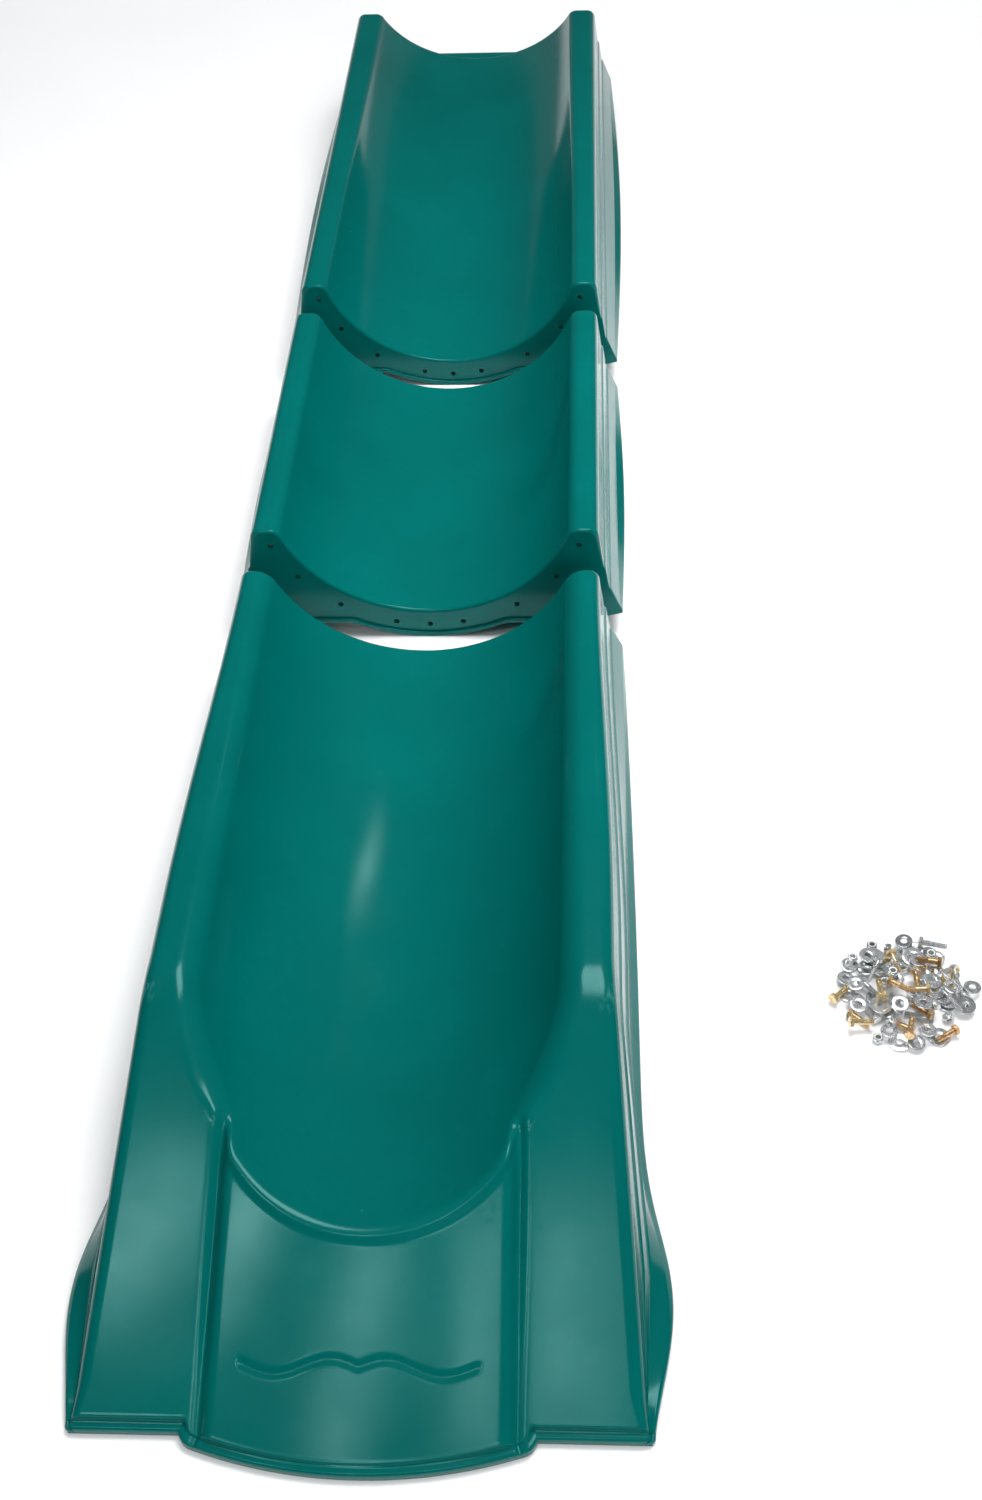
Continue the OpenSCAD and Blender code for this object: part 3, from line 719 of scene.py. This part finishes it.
def exit_section_mesh(name):
    ys = np.concatenate([
        np.arange(FRONT_ROW_Y, FRONT_BLEND_Y, 2.0), np.arange(FRONT_BLEND_Y, CURL_Y + 20, 3.0),
        np.arange(CURL_Y + 20, EXIT_Y1 - 2 * END_R, 12.0), [EXIT_Y1 - 2 * END_R, EXIT_Y1 - END_R],
    ])
    top = np.array([exit_row(y) for y in ys])
    for _ in range(ROUNDING_PASSES):
        d, g = exit_gradient(top[..., 0], top[..., 1], top[..., 2])
        g[:, 0, 0] = 0
        step = d[..., None] * g / np.maximum((g * g).sum(-1, keepdims=True), 1e-6)
        settled = smooth((exit_rail(top[..., 1]) - EDGE_R - 1 - top[..., 0]) / 4)[..., None]
        top = top - step * settled
    normals = g / np.maximum(np.linalg.norm(g, axis=-1, keepdims=True), 1e-9)
    side = np.array([exit_side(y) for y in ys])
    whole_rows = mirrored(np.concatenate([top, side], 1))

    shell = Shell()
    outer = shell.add_points(whole_rows)
    last = whole_rows[-1][:, [0, 2]]
    roll1 = shell.add_points(np.array(end_rows(last, EXIT_Y1, -1)[::-1]))
    front = shell.add_points(np.array(front_rows(whole_rows[0])[::-1]))
    shell.grid(np.concatenate([front, outer, roll1]), "skin")

    # Inner skin: every third column of the top skin pushed in by the wall, then a plain inner skirt
    picked = np.arange(0, EXIT_COLS, 3)
    under = top[:, picked] - WALL * normals[:, picked]
    inner_ys = ys.copy()
    inner_ys[-1] = EXIT_Y1 - PLATE_T
    inner_half = []
    for k, y in enumerate(inner_ys):
        foot_z, top_z, rail_x = float(exit_foot_z(y)), float(exit_panel(y)), float(exit_rail(y))
        radius = max(1.0, min(EDGE_R, (top_z - foot_z) / 2) - WALL)
        edge = rail_edge(rail_x - WALL, top_z - WALL, radius, INNER_EDGE_COLS)
        z1 = max(top_z - WALL - radius, foot_z + 2)
        low = inner_skirt(rail_x, z1, float(exit_foot(y)), foot_z, exit_band(y))
        row = np.concatenate([under[k], with_y(np.concatenate([edge, low]), y)])
        if k == len(inner_ys) - 1:
            row[:, 1] = y
        inner_half.append(row)
    inner_rows = mirrored(np.array(inner_half))
    inner_rows[:, :, 1] = np.maximum(inner_rows[:, :, 1], inner_rows[:1, :, 1])
    inner_front = inner_rows[0].copy()
    inner_front[:, 2] = 0
    inner = shell.add_points(np.concatenate([inner_front[None], inner_rows]))
    shell.grid(inner, "inner", True)
    foot_strip(shell, outer, inner[1:])

    # Underside of the toe rim, between two rows with different numbers of points
    low_outer, low_inner = front[0], inner[0]
    xo = np.array([shell.points[i][0] for i in low_outer])
    xi = np.array([shell.points[i][0] for i in low_inner])
    a = b = 0
    while a < len(xo) - 1 or b < len(xi) - 1:
        if b == len(xi) - 1 or (a < len(xo) - 1 and xo[a + 1] <= xi[b + 1]):
            shell.face([low_outer[a], low_outer[a + 1], low_inner[b]], "bottom")
            a += 1
        else:
            shell.face([low_outer[a], low_inner[b + 1], low_inner[b]], "bottom")
            b += 1
    for end in (0, -1):
        shell.face([*front[:, end], outer[0, end], inner[1, end], inner[0, end]], "bottom")

    end_plate(shell, EXIT_Y1, EXIT_Y1 - PLATE_T, outer[-1], roll1, inner[-1], PLATE_LOW, True)
    return shell.mesh(name)


# ---- Deck lip ------------------------------------------------------------------


def rounded_rectangle(width, depth, radius):
    """Loop round a rectangle with rounded corners, centred on the origin, anticlockwise."""
    loop = []
    for k, (sx, sy) in enumerate(((1, 1), (-1, 1), (-1, -1), (1, -1))):
        for a in np.linspace(k * math.pi / 2, (k + 1) * math.pi / 2, 9):
            loop.append((sx * (width / 2 - radius) + radius * math.cos(a),
                         sy * (depth / 2 - radius) + radius * math.sin(a)))
    return np.array(loop)


def deck_lip(name):
    """Flat tab at the deck end with its two screw holes, made lying in X-Z and then laid flat."""
    depth = LIP_DEPTH + PLATE_T / 2
    shell = Shell()
    loops = []
    for up in (False, True):
        for k in range(5):
            a = math.pi / 2 * (k if up else 4 - k) / 4
            inset = LIP_EDGE_ROUND * (1 - math.cos(a))
            rise = LIP_EDGE_ROUND * (1 - math.sin(a))
            height = LIP_T - rise if up else rise
            flat = rounded_rectangle(LIP_W - 2 * inset, depth - 2 * inset, LIP_CORNER_R - inset)
            loops.append(shell.add_points(with_y(flat, height)))
    index = np.array(loops)
    shell.grid(np.concatenate([index, index[:, :1]], 1), "skin")
    rings = []
    for side in (-1, 1):
        a = ring_angles(24)
        ring = np.stack([side * LIP_HOLE_SPAN / 2 + LIP_HOLE_R * np.cos(a),
                         PLATE_T / 4 + LIP_HOLE_R * np.sin(a)], -1)
        pair = np.array([shell.add_points(with_y(ring, 0)), shell.add_points(with_y(ring, LIP_T))])
        shell.grid(np.concatenate([pair, pair[:, :1]], 1), "hole", True)
        rings.append(pair)
    shell.planar(index[0], [r[0] for r in rings], "under", False)
    shell.planar(index[-1], [r[1] for r in rings], "upper", True)
    low = TROUGH_FLOOR + DECK_RISE - LIP_BELOW_FLOOR - LIP_T
    middle_y = TOP_Y1 - PLATE_T / 2 + depth / 2
    shell.points = [(p[0], middle_y + p[2], low + p[1]) for p in shell.points]
    return shell.mesh(name)


# ---- Placing -------------------------------------------------------------------


def linked(name, data):
    o = bpy.data.objects.new(name, data)
    bpy.context.scene.collection.objects.link(o)
    return o


def put(name, data, material, body, nodes=()):
    """Object for one visible piece, riding its body in place of the given CAD nodes."""
    o = linked(name, data)
    data.materials.append(material)
    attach(o, body)
    if nodes:
        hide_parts(*nodes)


# ---- Fasteners -----------------------------------------------------------------

HEX_AF = 12.7
HEX_CORNER = HEX_AF / 2 / math.cos(math.pi / 6)
HEAD_H = 5.3
BOLT_R = 3.95
THREAD_PITCH = 1.41
BOLT_LEN = 25.4
MACHINE_BOLT_LEN = 31.4
SCREW_LEN = 38.0
SCREW_HEAD_R = 5.5
SCREW_HEAD_H = 2.45
SCREW_CORE_R = 1.4
SCREW_PITCH = 2.3
NUT_H = 6.8


def rings_to_mesh(rows, flip=False):
    """Quads between rings of points round the Z axis; rings that rise face outwards unless flipped."""
    rows = np.array(rows)
    index = np.arange(rows.shape[0] * rows.shape[1]).reshape(rows.shape[:2])
    index = np.concatenate([index, index[:, :1]], 1)
    quads = np.stack([index[:-1, :-1], index[:-1, 1:], index[1:, 1:], index[1:, :-1]], -1)
    quads = quads.reshape(-1, 4)
    return rows.reshape(-1, 3), quads[:, ::-1] if flip else quads


def revolve(profile, segments, flip=False, hexagonal=False):
    """Surface through rows of (radius, height), round or cut to a hexagon."""
    a = ring_angles(segments)
    rows = []
    for r, z in profile:
        radii = hex_radius(r, a) if hexagonal else np.full(segments, float(r))
        rows.append(np.stack([radii * np.cos(a), radii * np.sin(a), np.full(segments, float(z))], -1))
    return rings_to_mesh(rows, flip)


def joined(*parts):
    points, faces, first = [], [], 0
    for p, f in parts:
        points.append(p)
        faces.append(f + first)
        first += len(p)
    return np.concatenate(points), np.concatenate(faces)


def hex_radius(r, a):
    """Row of a hexagon across its flats, cut back to a circle of radius r where that is smaller."""
    flat = HEX_AF / 2 / np.cos((a % (math.pi / 3)) - math.pi / 6)
    return np.minimum(flat, r)


def thread(radius, core, pitch, z0, z1, taper, tip, flip=False):
    """Rings whose radius winds round with height, drawn in to a share tip over the last taper."""
    a = ring_angles(20)
    rows = []
    for z in np.linspace(z0, z1, int((z1 - z0) / pitch * 5)):
        ridge = np.abs(((z / pitch - a / (2 * math.pi)) % 1) * 2 - 1)
        r = radius - (radius - core) * smooth((z - z0) / pitch) * ridge
        r = r * min(1.0, tip + (1 - tip) * (z1 - z) / taper)
        rows.append(np.stack([r * np.cos(a), r * np.sin(a), np.full(len(a), z)], -1))
    return rings_to_mesh(rows, flip)


def bolt_template(length, threaded):
    """Hex bolt with its head below z = 0; the last threaded millimetres carry the thread."""
    head = revolve([
        (0.01, -0.05), (6.1, -0.05), (6.1, -0.4), (HEX_CORNER, -0.6), (HEX_CORNER, -4.0),
        (HEX_CORNER - 0.25, -4.4), (HEX_CORNER - 0.55, -4.75), (6.3, -5.05), (6.0, 0.03 - HEAD_H),
        (5.6, -HEAD_H), (2.4, -HEAD_H), (2.1, 0.25 - HEAD_H), (0.01, 0.25 - HEAD_H),
    ], 48, flip=True, hexagonal=True)
    plain = length - threaded
    shank = revolve([(BOLT_R - 0.15, -0.1), (BOLT_R - 0.15, plain)], 20)
    worm = thread(BOLT_R - 0.02, BOLT_R - 0.75, THREAD_PITCH, plain, length - 0.05, 1.0, 0.75)
    end = revolve([(2.9, length - 0.06), (0.01, length - 0.06)], 20)
    return joined(head, shank, worm, end)


def nut_template():
    """Lock nut with a round collar over its hexagon."""
    outside = revolve([
        (BOLT_R + 0.5, 0), (5.9, 0), (6.3, 0.12), (HEX_CORNER - 0.5, 0.5), (HEX_CORNER, 0.9),
        (HEX_CORNER, 5.7), (HEX_CORNER - 0.35, 6.2), (6.25, 6.7), (5.8, NUT_H),
    ], 48, hexagonal=True)
    collar = revolve([
        (5.8, NUT_H), (5.78, 7.6), (5.6, 8.2), (5.25, 8.48), (5.02, 8.4), (5.02, 6.85), (3.4, NUT_H),
    ], 48)
    bore = thread(BOLT_R, BOLT_R - 0.6, THREAD_PITCH, 0.3, NUT_H, 1.0, 1.0, flip=True)
    mouth = revolve([(BOLT_R + 0.5, 0), (BOLT_R - 0.1, 0.35)], 48, flip=True)
    return joined(outside, collar, bore, mouth)


def ring_template(outer, inner, thick, r):
    """Washer or ring with its outer edges rounded by r."""
    turn = np.linspace(0, math.pi / 2, 5)
    profile = [(outer - r * (1 - math.sin(a)), r * (1 - math.cos(a))) for a in turn]
    profile += [(outer - r * (1 - math.cos(a)), thick - r * (1 - math.sin(a))) for a in turn]
    profile += [(inner + 0.3, thick), (inner + 0.08, thick - 0.08), (inner, thick - 0.3),
                (inner, 0.3), (inner + 0.08, 0.08), (inner + 0.3, 0), (outer - r, 0)]
    return revolve(profile, 56)


def screw_template():
    """Deck screw with a wide low head, a cross recess and a coarse tapering thread."""
    head_r = SCREW_HEAD_R
    dome_r = 2.6
    head = revolve([
        (2.05, 0.0), (head_r - 0.3, -0.1), (head_r, -0.45), (head_r, -0.8), (head_r - 0.5, -1.5),
        (head_r - 1.5, -2.1), (dome_r, -SCREW_HEAD_H),
    ], 48, flip=True)
    a = ring_angles(48)
    rows = []
    for r in np.linspace(dome_r, 0.02, 9):
        arm = np.minimum(np.abs(r * np.cos(a)), np.abs(r * np.sin(a)))
        cross = smooth((0.62 - arm) / 0.25) * smooth((2.3 - r) / 0.4)
        dome = -SCREW_HEAD_H - 0.15 * (1 - r / dome_r)
        rows.append(np.stack([r * np.cos(a), r * np.sin(a), dome + 1.4 * cross], -1))
    recess = rings_to_mesh(rows, flip=True)
    shank = revolve([(2.05, -0.05), (1.7, 0.8), (1.7, 9.0)], 20)
    worm = thread(2.08, SCREW_CORE_R, SCREW_PITCH, 9.0, SCREW_LEN - 0.1, 6.5, 0.12)
    return joined(head, recess, shank, worm)


def loose_parts(o):
    """Vertices of each separate piece in a CAD node, in millimetres."""
    work = bmesh.new()
    work.from_mesh(o.data)
    bmesh.ops.remove_doubles(work, verts=work.verts, dist=1e-6)
    work.verts.ensure_lookup_table()
    seen, parts = set(), []
    for v in work.verts:
        if v.index in seen:
            continue
        seen.add(v.index)
        stack, found = [v], []
        while stack:
            w = stack.pop()
            found.append(w.co[:])
            for e in w.link_edges:
                other = e.other_vert(w)
                if other.index not in seen:
                    seen.add(other.index)
                    stack.append(other)
        parts.append(np.array(found) / MM)
    work.free()
    return parts


def fit_piece(points, headed):
    """Axes (columns) and origin of a turned piece. Z runs along its axis, away from its wide end.
    The origin is where the head meets the shank, or the lower face of a piece with no head."""
    middle = points.mean(0)
    values, vectors = np.linalg.eigh(np.cov((points - middle).T))
    axis = vectors[:, 0 if values[1] - values[0] > values[2] - values[1] else 2]
    along = (points - middle) @ axis
    radial = points - middle - np.outer(along, axis)
    reach = np.linalg.norm(radial, axis=1)
    wide = reach > reach.max() - 0.15
    lean = (along.max() + along.min()) / 2 - along[wide].mean()
    if lean < -0.05 or (abs(lean) <= 0.05 and axis[2] < 0):
        axis, along = -axis, -along
    side = radial[np.argmax(reach)] / reach.max()
    start = along[wide].max() if headed else along.min()
    return np.stack([side, np.cross(axis, side), axis], 1), middle + axis * start


def fasteners(node, template, material, headed):
    """One mesh with the detailed template at the place of every loose piece of a CAD node."""
    points, quads = template
    all_points, all_quads, tones = [], [], []
    for k, part in enumerate(loose_parts(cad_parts[node])):
        axes, origin = fit_piece(part, headed)
        all_points.append(points @ axes.T + origin)
        all_quads.append(quads + k * len(points))
        tones += [(k * 0.618034 + 0.37) % 1] * len(points)
    data = bpy.data.meshes.new(node + "_detail")
    data.from_pydata((np.concatenate(all_points) * MM).tolist(), [], np.concatenate(all_quads).tolist())
    data.validate()
    data.polygons.foreach_set("use_smooth", [True] * len(data.polygons))
    data.set_sharp_from_angle(angle=math.radians(38))
    tone = data.attributes.new("piece_tone", "FLOAT", "POINT")
    tone.data.foreach_set("value", tones)
    put(node + "_detail", data, material, "fixing_kit", [node])


# ---- Materials -----------------------------------------------------------------


class Finish:
    """A procedural material: small calls that add a shader node each and return its output."""

    def __init__(self, name):
        self.material = bpy.data.materials.new(name)
        self.material.use_nodes = True
        self.tree = self.material.node_tree
        self.shader = self.tree.nodes["Principled BSDF"]
        self.place = self.node("ShaderNodeTexCoord").outputs["Object"]

    def node(self, kind, **inputs):
        made = self.tree.nodes.new(kind)
        for key, value in inputs.items():
            self.set(made.inputs[key.replace("_", " ")], value)
        return made

    def set(self, socket, value):
        if isinstance(value, bpy.types.NodeSocket):
            self.tree.links.new(value, socket)
        else:
            socket.default_value = value

    def stretched(self, scale):
        mapping = self.node("ShaderNodeMapping", Vector=self.place)
        mapping.inputs["Scale"].default_value = scale
        return mapping.outputs["Vector"]

    def noise(self, scale, detail=3.0, place=None, roughness=0.5):
        made = self.node("ShaderNodeTexNoise", Vector=place or self.place, Scale=scale,
                         Detail=detail, Roughness=roughness)
        return made.outputs["Fac"]

    def band(self, value, low, high, out_low=0.0, out_high=1.0):
        """Value mapped from low..high to out_low..out_high, clamped."""
        made = self.node("ShaderNodeMapRange", Value=value)
        made.inputs["From Min"].default_value = low
        made.inputs["From Max"].default_value = high
        made.inputs["To Min"].default_value = out_low
        made.inputs["To Max"].default_value = out_high
        return made.outputs["Result"]

    def math(self, operation, a, b):
        made = self.node("ShaderNodeMath")
        made.operation = operation
        self.set(made.inputs[0], a)
        self.set(made.inputs[1], b)
        return made.outputs[0]

    def times(self, a, b):
        return self.math("MULTIPLY", a, b)

    def mix(self, factor, a, b):
        made = self.node("ShaderNodeMix")
        made.data_type = "RGBA"
        self.set(made.inputs["Factor"], factor)
        self.set(made.inputs[6], (*a, 1) if isinstance(a, tuple) else a)
        self.set(made.inputs[7], (*b, 1) if isinstance(b, tuple) else b)
        return made.outputs[2]

    def bump(self, height, strength, distance, normal=None):
        made = self.node("ShaderNodeBump", Height=height, Strength=strength, Distance=distance)
        if normal is not None:
            self.tree.links.new(normal, made.inputs["Normal"])
        return made.outputs["Normal"]

    def near(self, place, reach):
        """1 at a point of the object, falling to 0 at reach from it, in metres."""
        made = self.node("ShaderNodeVectorMath")
        made.operation = "DISTANCE"
        self.tree.links.new(self.place, made.inputs[0])
        made.inputs[1].default_value = place
        return self.band(made.outputs["Value"], 0.0, reach, 1.0, 0.0)

    def finish(self, colour, roughness, normal, metallic=0.0, specular=0.5, tint=(1, 1, 1, 1)):
        self.set(self.shader.inputs["Base Color"], colour)
        self.set(self.shader.inputs["Roughness"], roughness)
        self.set(self.shader.inputs["Normal"], normal)
        self.shader.inputs["Metallic"].default_value = metallic
        self.shader.inputs["Specular IOR Level"].default_value = specular
        self.shader.inputs["Specular Tint"].default_value = tint
        return self.material


def moulded_green():
    """Glossy moulded polyethylene: mottling, a faint peel, fine scratches along the slide and
    scuffs where the rails bend down to the front."""
    f = Finish("moulded_green")
    mottle = f.band(f.noise(5.0, 4.0), 0.3, 0.7)
    grain = f.band(f.noise(90.0, 2.0), 0.35, 0.65)
    colour = f.mix(mottle, (0.0, 0.094, 0.086), (0.0, 0.112, 0.103))
    colour = f.mix(f.times(grain, 0.25), colour, (0.0, 0.092, 0.082))
    lines = f.band(f.noise(1.0, 3.0, f.stretched((420, 9, 420)), 0.6), 0.66, 0.72)
    where = f.band(f.noise(7.0, 2.0, f.stretched((1, 0.6, 1))), 0.56, 0.66)
    scratch = f.times(lines, where)
    rub_grain = f.band(f.noise(26.0, 5.0, None, 0.7), 0.62, 0.7)
    rub = f.times(rub_grain, f.band(f.noise(3.1, 1.0), 0.6, 0.68))
    worn = f.math("ADD", f.near((-0.272, 0.475, 0.2), 0.022), f.near((0.268, 0.47, 0.2), 0.024))
    streaks = f.band(f.noise(1.0, 4.0, f.stretched((260, 60, 160)), 0.7), 0.5, 0.58)
    scuffs = f.times(worn, streaks)
    colour = f.mix(f.times(scuffs, 0.5), colour, (0.06, 0.26, 0.24))
    colour = f.mix(f.times(scratch, 0.12), colour, (0.01, 0.16, 0.145))
    colour = f.mix(f.times(rub, 0.12), colour, (0.01, 0.17, 0.155))
    roughness = f.band(f.noise(14.0, 3.0), 0.3, 0.7, 0.13, 0.18)
    roughness = f.math("ADD", roughness, f.times(scratch, 0.1))
    roughness = f.math("ADD", roughness, f.times(rub, 0.14))
    wave = f.bump(f.noise(11.0, 1.0), 0.1, 0.0012)
    peel = f.bump(f.noise(340.0, 2.0), 0.12, 0.00025, wave)
    cut = f.bump(f.math("SUBTRACT", 1.0, scratch), 0.2, 0.0001, peel)
    return f.finish(colour, roughness, cut, 0.0, 0.3, (0.5, 1.0, 0.97, 1))


def zinc(name, dark, light, stain, rough_low, rough_high):
    """Plated steel: each piece its own tone, cloudy plating and fine handling marks."""
    f = Finish(name)
    tone = f.node("ShaderNodeAttribute")
    tone.attribute_name = "piece_tone"
    cloud = f.band(f.noise(130.0, 4.0), 0.35, 0.65)
    piece = f.times(tone.outputs["Fac"], 0.55)
    colour = f.mix(f.math("ADD", f.times(cloud, 0.45), piece), dark, light)
    spots = f.band(f.noise(310.0, 3.0), 0.55, 0.7)
    colour = f.mix(f.times(spots, 0.5), colour, stain)
    dull = f.band(tone.outputs["Fac"], 0.0, 0.16, 0.55, 0.0)
    colour = f.mix(dull, colour, tuple(0.3 * c for c in dark))
    roughness = f.band(f.noise(220.0, 3.0), 0.3, 0.7, rough_low, rough_high)
    marks = f.bump(f.noise(900.0, 3.0), 0.2, 0.00006)
    return f.finish(colour, roughness, marks, 0.75)


def nylon_white():
    f = Finish("nylon_white")
    cloud = f.band(f.noise(160.0, 3.0), 0.3, 0.7)
    colour = f.mix(cloud, (0.72, 0.73, 0.7), (0.84, 0.85, 0.83))
    roughness = f.band(f.noise(300.0), 0.3, 0.7, 0.38, 0.5)
    return f.finish(colour, roughness, f.bump(f.noise(700.0), 0.15, 0.00005))


def floor_white():
    f = Finish("floor_white")
    cloud = f.band(f.noise(2.0, 2.0), 0.3, 0.7)
    colour = f.mix(cloud, (0.9, 0.905, 0.915), (0.93, 0.935, 0.94))
    roughness = f.band(f.noise(40.0), 0.3, 0.7, 0.75, 0.85)
    return f.finish(colour, roughness, f.bump(f.noise(500.0), 0.05, 0.0001))


green = moulded_green()
yellow_zinc = zinc("yellow_zinc", (0.66, 0.34, 0.15), (0.9, 0.8, 0.48), (0.6, 0.42, 0.2),
                   0.16, 0.3)
bright_zinc = zinc("bright_zinc", (0.5, 0.53, 0.55), (0.93, 0.95, 0.96), (0.58, 0.6, 0.62),
                   0.12, 0.26)
nylon = nylon_white()

# ---- Objects -------------------------------------------------------------------

put("exit_moulding", exit_section_mesh("exit_moulding"),
    green, "exit_section", ["exit_section"])
put("middle_moulding",
    straight_section("middle_moulding", MIDDLE_Y0, MIDDLE_Y1, PLATE_LOW, 0, FOOT_BOW, True),
    green, "middle_section", ["middle_section"])
put("top_moulding",
    straight_section("top_moulding", TOP_Y0, TOP_Y1, 0, DECK_RISE, TOP_FOOT_BOW, False),
    green, "top_section", ["top_section"])
put("deck_lip", deck_lip("deck_lip"), green, "top_section")

fasteners("flange_bolts", bolt_template(BOLT_LEN, 14), yellow_zinc, True)
fasteners("machine_bolts", bolt_template(MACHINE_BOLT_LEN, 22), bright_zinc, True)
fasteners("lock_nuts", nut_template(), bright_zinc, False)
fasteners("nut_inserts", ring_template(5, 3.7, 1.5, 0.3), nylon, False)
fasteners("flat_washers", ring_template(11.1, 4.4, 1.8, 0.5), bright_zinc, False)
fasteners("wide_washers", ring_template(14, 4.4, 1.9, 0.5), bright_zinc, False)
fasteners("deck_screws", screw_template(), bright_zinc, True)

# ---- Floor, light and camera ---------------------------------------------------

bpy.context.scene.view_settings.view_transform = "Standard"

floor_mesh = bpy.data.meshes.new("floor")
floor_mesh.from_pydata([(-30, -30, 0), (30, -30, 0), (30, 30, 0), (-30, 30, 0)], [], [(0, 1, 2, 3)])
floor = linked("floor", floor_mesh)
floor_mesh.materials.append(floor_white())

world = bpy.data.worlds.new("studio")
bpy.context.scene.world = world
world.use_nodes = True
world.node_tree.nodes["Background"].inputs[0].default_value = (0.97, 0.99, 1, 1)
world.node_tree.nodes["Background"].inputs[1].default_value = 0.04


def area_light(name, place, aim, size, power, mirrored=False, spread=180):
    """Soft box, size in metres and power in watts, that shows in the gloss only if mirrored."""
    data = bpy.data.lights.new(name, "AREA")
    data.shape = "RECTANGLE"
    data.size, data.size_y = size
    data.energy = power
    data.spread = math.radians(spread)
    o = linked(name, data)
    o.location = place
    o.rotation_euler = (Vector(aim) - Vector(place)).to_track_quat("-Z", "Y").to_euler()
    o.visible_glossy = mirrored


area_light("ceiling_fill", (1.5, 2.3, 4.5), (0.4, 2.3, 0), (6, 10), 170)
area_light("front_fill", (1.4, -3.4, 2.6), (0.1, 0.4, 0), (3, 1.6), 125)
area_light("middle_key", (1.1, 1.9, 3.4), (0.1, 1.5, 0), (1.0, 1.2), 9, False, 58)
area_light("far_fill", (0, 5.0, 3.2), (0, 5.0, 0), (6, 2), 90)
area_light("overhead_box", (0.4, 1.5, 3.0), (0.1, 1.3, 0), (1.5, 1.1), 44, True)
area_light("window_trough", (0.25, 1.66, 1.05), (-0.05, 0.73, 0), (0.3, 0.08), 0.0052, True, 16)
area_light("window_left", (-0.99, -0.66, 3.0), (-0.24, 0.2, 0), (0.2, 0.5), 3.8, True)
area_light("window_apron", (-0.37, -0.92, 3.0), (0, 0.15, 0), (0.18, 0.75), 3.8, True)
area_light("window_right", (0.21, -0.9, 3.0), (0.23, 0.15, 0), (0.2, 0.7), 3.2, True)
area_light("back_panel", (0, 4.6, 0.34), (0, 2.9, 0.1), (3, 0.6), 0.8, True)

CAMERA_LENS = 42.495
CAMERA_PLACE = (0.2332, -0.7441, 1.8391)
CAMERA_PITCH = math.radians(45.53)
CAMERA_YAW = math.radians(-4.14)
CAMERA_ROLL = math.radians(-2.81)

camera_data = bpy.data.cameras.new("photo_view")
camera_data.sensor_width = 36
camera_data.lens = CAMERA_LENS
camera_data.clip_start = 0.05
camera = linked("photo_view", camera_data)
heading = Vector((math.sin(CAMERA_YAW), math.cos(CAMERA_YAW), 0))
forward = math.cos(CAMERA_PITCH) * heading - math.sin(CAMERA_PITCH) * Vector((0, 0, 1))
level = Vector((math.cos(CAMERA_YAW), -math.sin(CAMERA_YAW), 0))
upright = level.cross(forward)
right = math.cos(CAMERA_ROLL) * level + math.sin(CAMERA_ROLL) * upright
up = -math.sin(CAMERA_ROLL) * level + math.cos(CAMERA_ROLL) * upright
camera.matrix_world = Matrix((
    (right.x, up.x, -forward.x, CAMERA_PLACE[0]),
    (right.y, up.y, -forward.y, CAMERA_PLACE[1]),
    (right.z, up.z, -forward.z, CAMERA_PLACE[2]),
    (0, 0, 0, 1)))
bpy.context.scene.camera = camera
